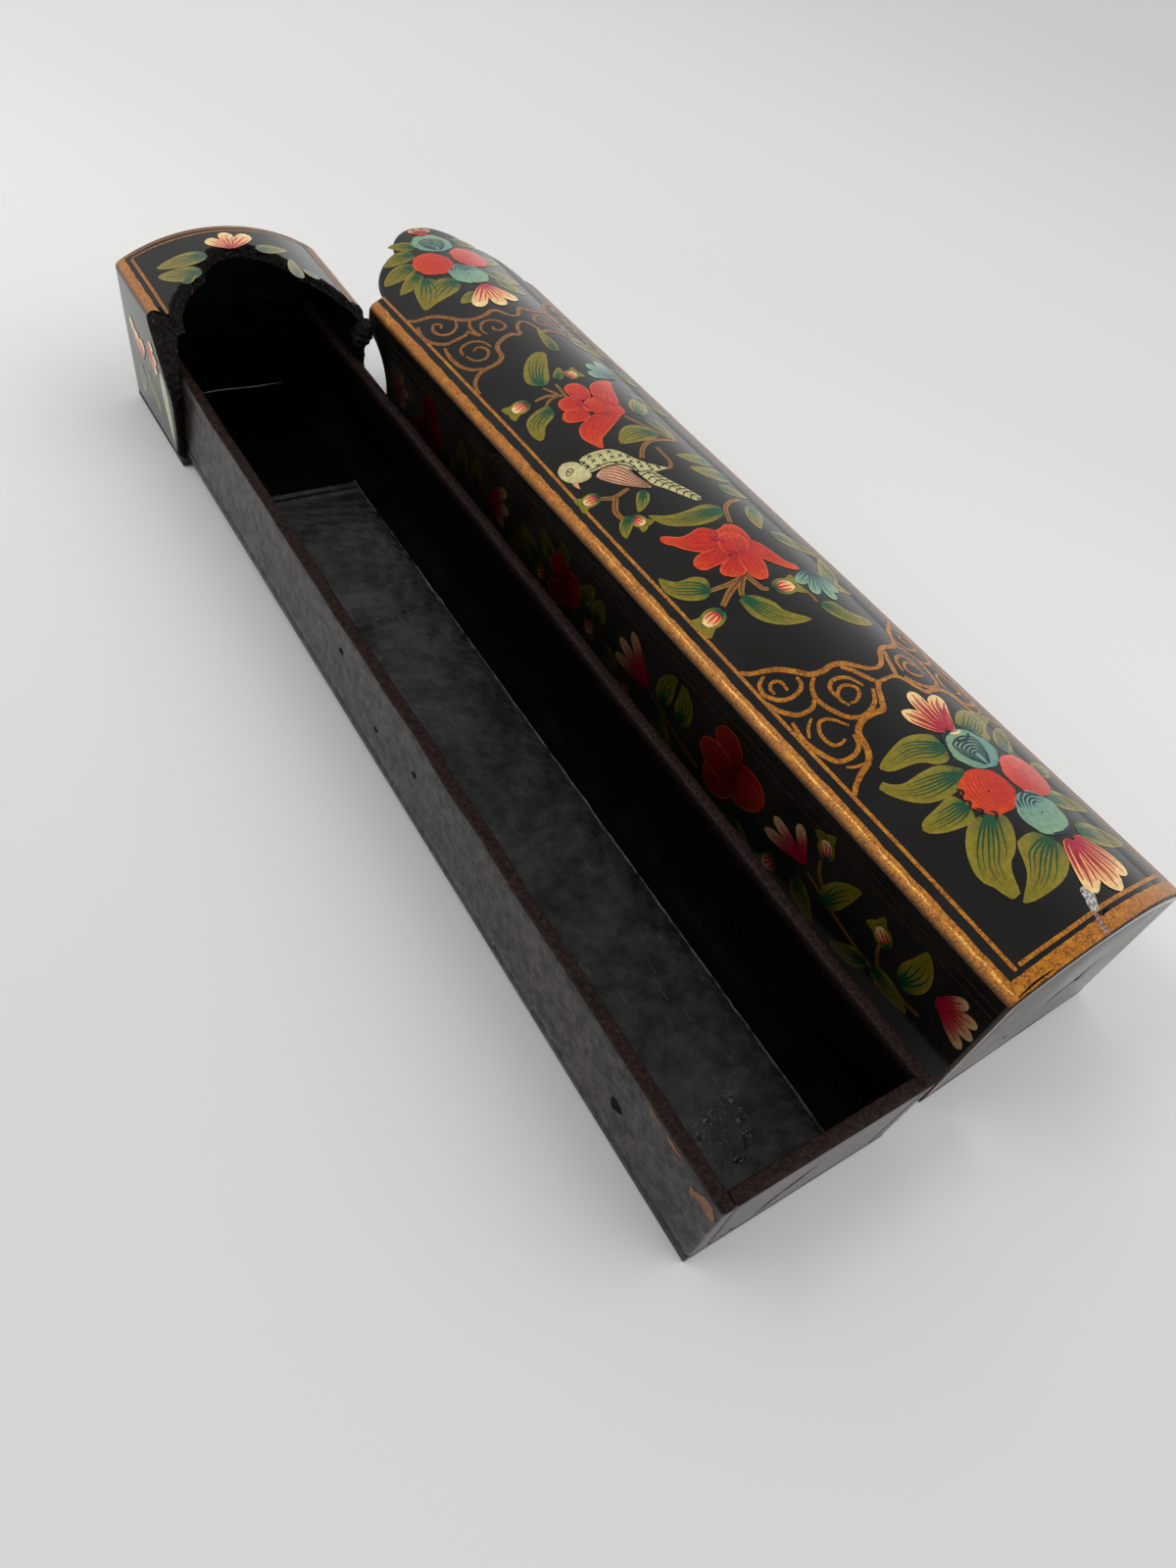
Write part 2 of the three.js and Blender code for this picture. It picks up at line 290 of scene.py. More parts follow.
def closed_sheet(outer, inner):
    """Points and faces of a body between two equal grids of points."""
    rows, columns = outer.shape[:2]
    count = rows * columns
    index = np.arange(count).reshape(rows, columns)
    faces = [grid_faces(rows, columns), grid_faces(rows, columns, count, True)]
    for ring, ahead in ((index[0], True), (index[-1], False), (index[:, 0], False), (index[:, -1], True)):
        quad = np.stack([ring[:-1], ring[1:], ring[1:] + count, ring[:-1] + count], -1)
        faces.append(quad if ahead else quad[:, ::-1])
    return np.concatenate([outer.reshape(-1, 3), inner.reshape(-1, 3)]), np.concatenate(faces)


def edge_distance(s, y, edge_s, edge_y):
    """Distance of each grid point from a line of edge points."""
    best = np.full(s.shape, 1e9)
    for i in range(len(edge_s) - 1):
        ax, ay, bx, by = edge_s[i], edge_y[i], edge_s[i + 1], edge_y[i + 1]
        length = max((bx - ax) ** 2 + (by - ay) ** 2, 1e-9)
        t = np.clip(((s - ax) * (bx - ax) + (y - ay) * (by - ay)) / length, 0, 1)
        best = np.minimum(best, np.hypot(s - ax - t * (bx - ax), y - ay - t * (by - ay)))
    return best


ARRIS_ROWS = np.array([0.0, 0.1, 0.28, 0.55, 0.9, 1.4])
ARRIS = 0.7
TORN_ROWS = 9

# The shell materials by their place in the list, and how far from the eaves the lacquer is worn.
OUTER_SLOT, TORN_SLOT, INNER_SLOT = range(3)
SLEEVE_EAVE_WEAR = 0.4
HOOD_EAVE_WEAR = 2.0
UNWORN = 30.0


def arris_drop(distance):
    """How far a rounded arris lies under the surface at a distance from the edge."""
    inside = np.clip(ARRIS - distance, 0, ARRIS)
    return ARRIS - np.sqrt(ARRIS ** 2 - inside ** 2)


def torn_face(s_values, outer_y, inner_y, body):
    """The broken face between the outer and the inner edge, as its outer half and its inner half."""
    middle = (outer_y + inner_y) / 2
    halves = []
    for edge_y, side in ((outer_y, 1), (inner_y, -1)):
        t = np.linspace(0.04, 1, TORN_ROWS + 1)[:-1, None]
        lift = -WALL / 2 * (1 - side * t) + 0 * middle
        s = np.broadcast_to(s_values, lift.shape)
        rough = 0.42 * ripple(s, 2.2 * lift, 1.9, 41) + 0.26 * ripple(s, 3.0 * lift, 0.7, 42)
        y = middle + (edge_y - middle) * t + rough * (1 - t ** 4)
        halves.append(wall_points(s, y, lift + 0.12 * ripple(s, y, 1.1, 43) * (1 - t), body))
    return halves


def shell_piece(name, body, materials, s_values, near, far, stands_for, rows=SHELL_ROWS, torn=None,
                far_inner=None):
    """A wall of the shell between two edges; the functions give y for each s. torn gives the inner edge
    of a broken near face."""
    near_y, far_y = near(s_values), far(s_values)
    first = near_y[None] + ARRIS_ROWS[:, None]
    last = far_y[None] - ARRIS_ROWS[::-1, None]
    middle = first[-1] + (last[0] - first[-1]) * np.linspace(0, 1, rows)[1:-1, None]
    y = np.concatenate([first, middle, last])
    s = np.broadcast_to(s_values, y.shape)
    near_distance = edge_distance(s, y, s_values, near_y)
    distance = np.minimum(near_distance, edge_distance(s, y, s_values, far_y))
    outer = on_section(s, y, -arris_drop(distance), body)
    inner_near = torn(s_values) if torn else near_y
    inner_far = far_inner(s_values) if far_inner else far_y
    share = np.linspace(0, 1, len(y))[:, None]
    inner = wall_points(s, inner_near + (inner_far - inner_near) * share, np.full(s.shape, -WALL), body)
    worn, eave_wear, torn_rows = distance, SLEEVE_EAVE_WEAR, 0
    if torn:
        halves = torn_face(s_values, near_y, inner_near, body)
        outer, inner = np.concatenate([halves[0], outer]), np.concatenate([halves[1], inner])
        worn, eave_wear, torn_rows = near_distance, HOOD_EAVE_WEAR, TORN_ROWS
    points, faces = closed_sheet(outer, inner)
    columns = len(s_values) - 1
    side = (len(outer) - 1) * columns
    indices = np.full(len(faces), OUTER_SLOT)
    indices[side:2 * side] = INNER_SLOT
    if torn:
        for start, count in ((0, torn_rows), (side, torn_rows), (2 * side, 1)):
            indices[start:start + count * columns] = TORN_SLOT
    obj = new_object(name, points, faces, body, materials, stands_for, indices=indices)
    worn = np.minimum(worn, np.abs(np.abs(s) - (ARCH_END + SIDE_START) / 2) + eave_wear)
    worn = np.concatenate([np.zeros(torn_rows * len(s_values)), worn.ravel()])
    set_values(obj.data, "edge", np.concatenate([worn, np.full(worn.size, UNWORN)]))


RIM_FADE = 60.0


def uneven(points, amount=TRAY_UNEVEN):
    """The tray's wall points, a little wavy, with the right rim standing slightly outwards."""
    x, y, z = points.T
    top = np.clip((z - TRAY_UNDERSIDE) / (TRAY_TOP - TRAY_UNDERSIDE), 0, 1)
    outward = RIM_SPREAD * top * np.clip((HOOD_FRONT - y) / RIM_FADE, 0, 1) * np.clip(x / WIDTH, 0, 1)
    across = amount * top * ripple(y + z, x, 26.0, 3) + outward
    return points + np.stack([across, 0 * y, amount * top * (ripple(y + x, 0 * y, 15.0, 5) - 0.6)], -1)


SHARP = math.radians(40)
MARK_HEIGHTS = np.arange(TRAY_UNDERSIDE + 4, TRAY_TOP - 1, 3.0)
MARK_SIDES = (TRAY_LEFT + 2.6, TRAY_RIGHT - 2.6)


def slab(name, body, material, outline, y0, y1, stands_for, round_to=0.35, unevenness=0.0, step=4.0,
         marks=None):
    """A board with the given outline in x and z, from y0 to y1, with rounded arrises and cut across every
    step. marks gives the values that its material reads."""
    bm = bmesh.new()
    near, far = [[bm.verts.new((x, y, z)) for x, z in outline] for y in (y0, y1)]
    bm.faces.new(near)
    bm.faces.new(reversed(far))
    for i in range(len(outline)):
        j = (i + 1) % len(outline)
        bm.faces.new((near[i], far[i], far[j], near[j]))
    bmesh.ops.recalc_face_normals(bm, faces=bm.faces)
    sharp = [e for e in bm.edges if e.calc_face_angle(0) > SHARP]
    bmesh.ops.bevel(bm, geom=sharp, offset=round_to, segments=3, profile=0.5, affect="EDGES")

    def cut(axis, places):
        for place_on_axis in places:
            at, way = [0, 0, 0], [0, 0, 0]
            at[axis], way[axis] = place_on_axis, 1
            parts = list(bm.verts) + list(bm.edges) + list(bm.faces)
            bmesh.ops.bisect_plane(bm, geom=parts, plane_co=at, plane_no=way)

    cut(1, np.arange(y0 + step, y1 - step / 2, step))
    left, right = min(v.co.x for v in bm.verts), max(v.co.x for v in bm.verts)
    if right - left > 3 * step > y1 - y0:
        cut(0, np.arange(left + step, right - step / 2, step))
    if marks:
        cut(2, MARK_HEIGHTS)
        cut(0, MARK_SIDES)
    bm.verts.index_update()
    points = np.array([v.co for v in bm.verts])
    faces = [[v.index for v in f.verts] for f in bm.faces]
    bm.free()
    placed = uneven(points, unevenness) if unevenness else points
    obj = new_object(name, placed, faces, body, [material], stands_for)
    if marks:
        for key, values in marks(points).items():
            set_values(obj.data, key, values)


# Materials.

class Nodes:
    """The node tree of a material or a world, with short ways to add and join nodes."""

    def __init__(self, owner):
        owner.use_nodes = True
        self.owner, self.tree = owner, owner.node_tree

    def join(self, value, socket):
        """Links a node's output to a socket, or sets a number, a direction or a colour on it."""
        if isinstance(value, bpy.types.NodeSocket):
            self.tree.links.new(value, socket)
        else:
            socket.default_value = (*value, 1.0) if socket.type == "RGBA" else value

    def add(self, kind, inputs=None, **settings):
        node = self.tree.nodes.new(kind)
        for key, value in settings.items():
            setattr(node, key, value)
        for key, value in (inputs or {}).items():
            self.join(value, node.inputs[key])
        return node

    def place(self, stretch=(1, 1, 1)):
        """Object space in millimetres."""
        coordinates = self.add("ShaderNodeTexCoord").outputs["Object"]
        scale = [1 / MM * f for f in stretch]
        return self.add("ShaderNodeVectorMath", {0: coordinates, 1: scale}, operation="MULTIPLY").outputs[0]

    def noise(self, size, detail=3.0, roughness=0.55, stretch=(1, 1, 1)):
        """Noise with features of about a size in millimetres."""
        inputs = {"Vector": self.place(stretch), "Scale": 1 / size, "Detail": detail, "Roughness": roughness}
        return self.add("ShaderNodeTexNoise", inputs).outputs["Fac"]

    def specks(self, size, low, high, sparse):
        """Small round spots, here and there."""
        inputs = {"Vector": self.place(), "Scale": 1 / size}
        spot = self.span(self.add("ShaderNodeTexVoronoi", inputs).outputs["Distance"], low, high, 1.0, 0.0)
        return self.math("MULTIPLY", spot, self.span(self.noise(5.0), sparse, sparse + 0.1))

    def span(self, value, low, high, to_low=0.0, to_high=1.0):
        """A smooth step from one value to another as the input goes from low to high."""
        inputs = {"Value": value, "From Min": low, "From Max": high, "To Min": to_low, "To Max": to_high}
        return self.add("ShaderNodeMapRange", inputs, interpolation_type="SMOOTHSTEP").outputs["Result"]

    def math(self, operation, a, b):
        return self.add("ShaderNodeMath", {0: a, 1: b}, operation=operation).outputs[0]

    def mix(self, factor, a, b, blend="MIX"):
        """Colour a mixed with colour b."""
        inputs = {0: factor, 6: a, 7: b}
        return self.add("ShaderNodeMix", inputs, data_type="RGBA", blend_type=blend).outputs[2]

    def value(self, name):
        """What set_values gave the vertices under a name."""
        return self.add("ShaderNodeAttribute", attribute_name=name).outputs["Fac"]

    def painted(self):
        """The colour that Painting gave the vertices."""
        return self.add("ShaderNodeVertexColor", layer_name="paint").outputs["Color"]

    def bump(self, height, depth, strength, normal=None):
        """Relief of a depth in millimetres."""
        inputs = {"Height": height, "Distance": depth * MM, "Strength": strength}
        if normal is not None:
            inputs["Normal"] = normal
        return self.add("ShaderNodeBump", inputs).outputs["Normal"]

    def gloss(self, facing):
        """The coat's weight: the value given where the face is seen square on, whole at a glance."""
        glance = self.add("ShaderNodeLayerWeight", {"Blend": 0.5}).outputs["Facing"]
        return self.span(glance, 0.5, 0.82, facing, 1.0)

    def finish(self, colour, roughness, normal=None, coat=None, coat_roughness=0.1, level=0.0, metallic=0.0):
        """Gives the shader what is set here, under a clear coat if there is one, and returns the material."""
        sockets = self.tree.nodes["Principled BSDF"].inputs
        joins = {"Base Color": colour, "Roughness": roughness, "Metallic": metallic,
                 "Coat Roughness": coat_roughness, "Specular IOR Level": level}
        if coat is not None:
            joins.update({"Normal": normal, "Coat Weight": coat, "Coat Normal": normal})
        for key, value in joins.items():
            self.join(value, sockets[key])
        return self.owner


def new_material(name):
    return Nodes(bpy.data.materials.new(name))


# The clear coat's weight seen square on: on most walls, and where reflected haze covers the painting.
GLOSS = 0.62
HAZE = 1.0


def lacquer_material(name, bare, reach, gloss):
    """Black gloss lacquer on the painted walls, worn off along the edges."""
    n = new_material(name)
    cloud = n.noise(9.0)
    ground = n.mix(n.span(cloud, 0.35, 0.7), srgb(13, 12, 11), srgb(20, 18, 16))
    wear = n.math("ADD", n.value("edge"), n.math("MULTIPLY", n.noise(1.3, 6.0, 0.65), -2.4))
    rub = n.span(wear, reach - 1.25, reach - 0.9, 1.0, 0.0)
    colour = n.mix(rub, ground, bare)
    dust = n.specks(1.7, 0.03, 0.07, 0.56)
    colour = n.mix(n.math("MULTIPLY", dust, 0.5), colour, srgb(96, 92, 86))
    roughness = n.span(n.noise(3.0), 0.3, 0.8, 0.3, 0.5)
    normal = n.bump(n.noise(6.0, 2.0), 0.035, 0.5)
    normal = n.bump(n.noise(0.8, 3.0), 0.012, 0.5, normal)
    coat = n.math("MULTIPLY", n.gloss(gloss), n.span(rub, 0.0, 1.0, 1.0, 0.2))
    return n.finish(colour, roughness, normal, coat, 0.07)


def satin_material(name, dark, light, coat, coat_roughness=0.25, pits=0.5, relief=0.1):
    """Plain dark lacquer, mottled, with pinholes; its coat goes in patches between the two weights."""
    n = new_material(name)
    colour = n.mix(n.span(n.noise(6.0, 5.0, 0.6), 0.34, 0.7), dark, light)
    hole = n.specks(1.1, 0.05, 0.16, 0.5)
    colour = n.mix(n.math("MULTIPLY", hole, pits), colour, srgb(6, 5, 5))
    fine = n.noise(0.9, 4.0)
    normal = n.bump(n.math("SUBTRACT", fine, hole), relief, 0.7)
    normal = n.bump(n.noise(9.0, 1.0), 0.3, 0.3, normal)
    patchy = n.span(n.noise(14.0, 4.0), 0.35, 0.7, *coat)
    return n.finish(colour, 0.6, normal, patchy, coat_roughness)


def wall_material():
    """The tray's walls: thin brown-black lacquer outside, near-black inside, which is partly the lacquer's own black
    and partly painted shade, brown and fuzzy along the rim.
    """
    n = new_material("worn_lacquer")
    mottle = n.noise(2.0, 6.0, 0.66)
    outside = n.mix(n.span(mottle, 0.34, 0.7), srgb(22, 17, 18), srgb(50, 40, 41))
    outside = n.mix(n.span(n.noise(14.0, 4.0), 0.48, 0.7, 0.0, 0.55), outside, srgb(22, 21, 24))
    hole = n.specks(0.8, 0.06, 0.2, 0.48)
    outside = n.mix(hole, outside, srgb(5, 4, 4))
    scuffed = n.math("MULTIPLY", n.value("front"), n.span(n.noise(7.0), 0.5, 0.66))
    outside = n.mix(scuffed, outside, srgb(62, 44, 44))
    fuzz = n.noise(0.8, 5.0, 0.65)
    near_rim = n.math("ADD", n.value("under_rim"), n.math("MULTIPLY", fuzz, -4.0))
    # Inside, below the rim, the colour is near black: partly the lacquer's own black, partly painted shade.
    inside = n.mix(n.span(near_rim, -2.0, 0.6, 0.7, 0.0), srgb(5, 4, 4), srgb(34, 24, 23))
    inside = n.mix(n.math("MULTIPLY", n.specks(1.3, 0.04, 0.1, 0.58), 0.5), inside, srgb(44, 38, 37))
    colour = n.mix(n.value("inner"), outside, inside)
    top = n.span(n.value("under_rim"), 0.12, 0.75, 1.0, 0.0)
    colour = n.mix(top, colour, n.mix(n.span(fuzz, 0.36, 0.7), srgb(24, 17, 16), srgb(46, 33, 30)))
    normal = n.bump(n.math("SUBTRACT", n.noise(0.8, 4.0), hole), 0.14, 0.7)
    normal = n.bump(n.noise(5.0, 2.0), 0.3, 0.35, normal)
    shut = n.math("MAXIMUM", n.value("inner"), top)
    coat = n.math("MAXIMUM", n.span(mottle, 0.3, 0.7, 0.6, 0.95), n.math("MULTIPLY", n.value("front"), 0.9))
    coat = n.math("MULTIPLY", coat, n.span(shut, 0.0, 1.0, 1.0, 0.1))
    return n.finish(colour, 0.6, normal, coat, 0.22)


def torn_material():
    """Bare broken pasteboard, rough and layered."""
    n = new_material("torn_board")
    fibre = n.noise(0.55, 5.0, 0.7)
    colour = n.mix(n.span(fibre, 0.42, 0.74), srgb(8, 7, 7), srgb(52, 47, 45))
    colour = n.mix(n.span(n.noise(2.6, 3.0), 0.64, 0.72, 0.0, 0.75), colour, srgb(92, 62, 44))
    return n.finish(colour, 0.75, n.bump(fibre, 0.35, 1.0), 0.12, 0.3)


def lining_material():
    """Paper under black varnish, creased, with a flaked patch and a painted highlight along its curled edge."""
    n = new_material("lining")
    colour = n.mix(n.span(n.noise(4.0, 7.0, 0.7), 0.36, 0.68), srgb(11, 10, 11), srgb(28, 27, 29))
    flake = n.value("flaked")
    grain = n.noise(0.7, 6.0, 0.7)
    colour = n.mix(n.math("MULTIPLY", flake, n.span(grain, 0.5, 0.62)), colour, srgb(120, 118, 119))
    # Painted highlight on the curled right edge.
    lit = n.math("MULTIPLY", n.value("lit_edge"), n.span(n.noise(4.0, 5.0, 0.7), 0.3, 0.62))
    colour = n.mix(lit, colour, srgb(104, 101, 100))
    hair = n.noise(1.3, 2.0, 0.5, (2.2, 0.18, 1.0))
    colour = n.mix(n.span(hair, 0.68, 0.74, 0.0, 0.4), colour, srgb(70, 68, 70))
    normal = n.bump(grain, 0.10, 0.6)
    normal = n.bump(n.math("MULTIPLY", flake, grain), 0.5, 1.0, normal)
    normal = n.bump(n.noise(5.0, 3.0), 0.25, 0.4, normal)
    coat = n.span(n.noise(16.0, 6.0, 0.7), 0.34, 0.68, 0.3, 0.76)
    return n.finish(colour, 0.55, normal, coat, 0.2)


def paint_material(name, coat, rough=0.5, glossy=True):
    """Painted colours under the clear lacquer; each vertex holds its colour."""
    n = new_material(name)
    cloud = n.span(n.noise(1.1, 4.0), 0.25, 0.8, 0.74, 1.1)
    shade = n.add("ShaderNodeVectorMath", {0: n.painted(), "Scale": cloud}, operation="SCALE").outputs[0]
    normal = n.bump(n.noise(0.7, 3.0), 0.02, 0.5)
    return n.finish(shade, rough, normal, n.gloss(coat) if glossy else coat, 0.08)


def gold_material(name, broken):
    """Gold paint, grainy, with specks worn through to the dark ground."""
    n = new_material(name)
    grain = n.noise(0.42, 5.0, 0.65)
    colour = n.mix(n.span(grain, 0.4, 0.56), GOLD_DEEP, GOLD)
    colour = n.mix(n.span(n.noise(2.6, 3.0), 0.5, 0.76, 0.0, 0.6), colour, GOLD_LIGHT)
    colour = n.mix(n.span(n.noise(0.7, 6.0, 0.75), *broken), colour, srgb(70, 42, 24))
    colour = n.mix(1.0, colour, n.painted(), "MULTIPLY")
    roughness = n.span(grain, 0.3, 0.7, 0.3, 0.5)
    return n.finish(colour, roughness, n.bump(grain, 0.07, 1.0), 0.34, 0.14, level=0.2, metallic=0.3)


TORN_MATERIAL = torn_material()
INNER_MATERIAL = satin_material("bare_inside", srgb(7, 6, 6), srgb(12, 10, 10), (0.03, 0.12), 0.4)
BLACK_MATERIAL = satin_material("black_lacquer", srgb(8, 7, 7), srgb(15, 13, 13), (0.05, 0.22), 0.35)
BASE_MATERIAL = satin_material("base_lacquer", srgb(22, 18, 16), srgb(38, 31, 28), (0.3, 0.6))
END_MATERIAL = satin_material("end_lacquer", srgb(16, 13, 13), srgb(40, 31, 31), (0.75, 1.0), 0.16, 0.8, 0.16)
# The tray's inner corners and far end: near black, darker than the lacquer elsewhere, partly its own black and partly
# painted shade.
DEEP_MATERIAL = satin_material("deep_black", srgb(5, 4, 4), srgb(9, 8, 8), (0.0, 0.03), 0.4)
WALL_MATERIAL = wall_material()
LINING_MATERIAL = lining_material()
PAINT_MATERIAL = paint_material("paint", GLOSS)
HAZY_PAINT_MATERIAL = paint_material("hazy_paint", HAZE)
MARK_MATERIAL = paint_material("bare_marks", 0.1, 0.8, glossy=False)
GOLD_MATERIAL = gold_material("gold_paint", (0.57, 0.66))
SCROLL_MATERIAL = gold_material("gold_strokes", (0.56, 0.64))


def shell_materials(name, bare, reach, gloss=GLOSS):
    """Outside, torn face and inside, in the order of the slots."""
    return [lacquer_material(name, bare, reach, gloss), TORN_MATERIAL, INNER_MATERIAL]


SLEEVE_WALLS = shell_materials("sleeve_lacquer", srgb(70, 46, 30), 0.1)
HOOD_WALLS = shell_materials("hood_lacquer", srgb(15, 13, 12), 1.2)
HOOD_SIDE_WALLS = shell_materials("hood_side_lacquer", srgb(15, 13, 12), 1.2, HAZE)


# The walls of the two halves.

def spread(*stops):
    """Values through the stops, each given as (value, step up to it)."""
    values = [stops[0][0]]
    for (start, _), (end, step) in zip(stops, stops[1:]):
        count = max(1, round((end - start) / step))
        values.extend(np.linspace(start, end, count + 1)[1:])
    return np.array(values)


def top_columns(edge_s, step=0.8):
    """s across the top, closer over the rounded eaves and at the points of a lobed edge."""
    plain = spread((-TOP_EDGE, 0), (-SIDE_START, 0.8), (-ARCH_END, 0.25), (ARCH_END, step),
                   (SIDE_START, 0.25), (TOP_EDGE, 0.8))
    both = np.sort(np.concatenate([plain, edge_s]))
    return both[np.concatenate([[True], np.diff(both) > 0.04])]


# Where the painted face of the hood ends beside its cut-out, as s and y: the lacquer has broken away there.
LEFT_BREAK = [(-59.4, 219.0), (-52.4, 217.2), (-44.4, 216.9), (-40.7, 218.9), (-35.4, 222.3), (-29.4, 226.0),
              (-27.0, 226.4), (-24.6, 225.4), (-23.2, 222.5), (-21.9, 218.0)]
RIGHT_BREAK = [(21.9, 218.0), (23.4, 219.6), (26.0, 220.4), (29.4, 220.0), (36.0, 218.4), (59.4, 217.6)]


def flat_edge(y):
    """The edge function of a square-cut edge at y."""
    return lambda s: np.full(np.shape(s), float(y))


def build_shells():
    """The sleeve's and the hood's tops and side walls."""
    tongue_s, tongue_y = tongue_edge(SLEEVE_LENGTH, 0.0)
    cut_s, cut_y = tongue_edge(HOOD_FRONT, CUT_CLEARANCE)
    break_s, break_y = np.array(LEFT_BREAK + RIGHT_BREAK).T

    def sleeve_far(s):
        return np.where(np.abs(s) < tongue_s[-1], np.interp(s, tongue_s, tongue_y), SLEEVE_LENGTH)

    def sleeve_far_inner(s):
        return sleeve_far(s) - CUT_SLANT * np.clip((tongue_s[-1] - np.abs(s)) / 2, 0, 1)

    def cut(s):
        return np.where(np.abs(s) < cut_s[-1], np.interp(s, cut_s, cut_y), HOOD_FRONT)

    def hood_near(s):
        ragged = 0.3 * ripple(s, 0 * s, 1.7, 21) + 0.22 * ripple(s, 0 * s, 0.7, 22)
        edge = np.where(np.abs(s) < RIGHT_BREAK[0][0], cut(s), np.interp(s, break_s, break_y))
        return edge + np.maximum(ragged, -0.3) + 0.2

    def hood_inner(s):
        ragged = 0.35 * ripple(s, 0 * s, 1.3, 23)
        return cut(s) - CUT_SLANT * np.clip((s + 8) / 14, -0.5, 1) * np.clip((22.5 - s) / 2, 0.25, 1) + ragged

    def notched(s):
        return SLEEVE_LENGTH - notch_reach(SIDE_START_Z - (np.abs(s) - SIDE_START))

    shell_piece("sleeve_arch", "sleeve", SLEEVE_WALLS, top_columns(tongue_s), flat_edge(0), sleeve_far,
                ["sleeve_top"], far_inner=sleeve_far_inner)
    shell_piece("hood_arch", "drawer", HOOD_WALLS, top_columns(cut_s, 0.35), hood_near, flat_edge(DRAWER_LENGTH),
                ["hood_top"], HOOD_ROWS, hood_inner)
    left = spread((-SIDE_FOOT, 0), (-TOP_EDGE, 0.6))
    for side, columns, far in (("left", left, notched), ("right", -left[::-1], flat_edge(SLEEVE_LENGTH))):
        shell_piece(f"sleeve_wall_{side}", "sleeve", SLEEVE_WALLS, columns, flat_edge(0), far,
                    [f"sleeve_{side}_side"])
        shell_piece(f"hood_wall_{side}", "drawer", HOOD_SIDE_WALLS, columns, hood_near, flat_edge(DRAWER_LENGTH),
                    [f"hood_{side}_side"], HOOD_ROWS, hood_inner)


# The lump of torn board: its middle, half its girth and height, how far right it may reach, and its ends.
LUMP_X, LUMP_Y, LUMP_Z = 47.6, 217.3, 30.6
LUMP_REACH = 2.3
LUMP_HALF_HEIGHT = 4.0
LUMP_RIGHT = 50.5
LUMP_ENDS = [[47.1, 217.9, 26.6], [48.1, 216.7, 34.6]]
LUMP_COLUMNS = 24
LUMP_RINGS = 13


def build_broken_corner():
    """The torn lump of board that stands out at the hood's right near corner."""
    turns = np.linspace(0, 2 * np.pi, LUMP_COLUMNS + 1)[:-1]
    turn, along = np.meshgrid(turns, np.linspace(-1, 1, LUMP_RINGS + 2)[1:-1], indexing="ij")
    coarse = ripple(3 * np.cos(turn), 4 * along, 1.6, 71)
    fine = ripple(3 * np.sin(turn), 4 * along, 0.7, 72)
    girth = LUMP_REACH * np.sqrt(np.clip(1 - np.abs(along) ** 2.6, 0, 1)) * (1 + 0.26 * coarse + 0.16 * fine)
    x = np.minimum(LUMP_X + girth * np.cos(turn) + 0.5 * along, LUMP_RIGHT)
    y = LUMP_Y + girth * np.sin(turn) - 0.6 * along
    points = np.stack([x, y, LUMP_Z + LUMP_HALF_HEIGHT * along], -1).reshape(-1, 3)
    at = np.arange(len(points)).reshape(turn.shape)
    after = np.roll(at, -1, axis=0)
    low, high = len(points), len(points) + 1
    faces = np.stack([at[:, :-1], after[:, :-1], after[:, 1:], at[:, 1:]], -1).reshape(-1, 4).tolist()
    faces += [(low, b[0], a[0]) for a, b in zip(at, after)]
    faces += [(high, a[-1], b[-1]) for a, b in zip(at, after)]
    new_object("hood_broken_corner", np.concatenate([points, LUMP_ENDS]), faces, "drawer",
               [TORN_MATERIAL])


def end_outline():
    """The end panel's outline inside the walls, up to the arch's underside."""
    x = np.linspace(WIDTH - WALL, WALL, 22)
    z = CENTRE_Z + np.sqrt((RADIUS - WALL) ** 2 - (x - HALF) ** 2)
    return [(WALL, BASE), (WIDTH - WALL, BASE), *zip(x, z)]


def build_ends_and_bases():
    for name, body, material, y0, y1 in (
        ("sleeve", "sleeve", END_MATERIAL, 0.0, END_WALL),
        ("hood", "drawer", BLACK_MATERIAL, DRAWER_LENGTH - END_WALL, DRAWER_LENGTH),
    ):
        slab(f"{name}_end", body, material, end_outline(), y0, y1, [f"{name}_end_panel"],
             round_to=0.08)
    for name, body, left, y0, y1 in (("sleeve", "sleeve", 0.0, 0.0, SLEEVE_LENGTH),
                                     ("hood", "drawer", LEAN_FOOT, HOOD_FRONT, DRAWER_LENGTH)):
        base = [(left, 0), (WIDTH, 0), (WIDTH, BASE), (left, BASE)]
        slab(f"{name}_bottom", body, BASE_MATERIAL, base, y0, y1, [f"{name}_base"])


# Points nearer than these to a tray wall's outer face count as its skin, or as its front.
SKIN = 1.2
FRONT = 0.3


def wall_marks(points):
    """How far under the rim each point of a tray wall is, and whether it faces the inside or the front."""
    x, y, z = points.T
    inner = (x > TRAY_LEFT + SKIN) & (x < TRAY_RIGHT - SKIN) & (y > SKIN) & (y < TRAY_LENGTH - SKIN)
    return {"under_rim": TRAY_TOP - z, "inner": inner, "front": y < FRONT}


def mirrored(outline):
    """An outline in x and z turned over to the tray's other side."""
    return [(WIDTH - x, z) for x, z in reversed(outline)]


def cove_outline():
    """The rounded strip in the tray's left inside corner, which follows the leaning wall."""
    x0, hollow = TRAY_LEFT + TRAY_FOOT, COVE - COVE_EDGE
    tilt = (TRAY_FOOT - TRAY_RIM) / (TRAY_TOP - TRAY_FLOOR_TOP)
    outline = [(x0, TRAY_FLOOR_TOP), (x0 + COVE, TRAY_FLOOR_TOP)]
    for angle in np.linspace(0, math.pi / 2, 12):
        x, z = COVE - hollow * math.sin(angle), COVE - hollow * math.cos(angle)
        outline.append((x0 + x - tilt * z, TRAY_FLOOR_TOP + z))
    return outline + [(x0 - tilt * COVE, TRAY_FLOOR_TOP + COVE)]


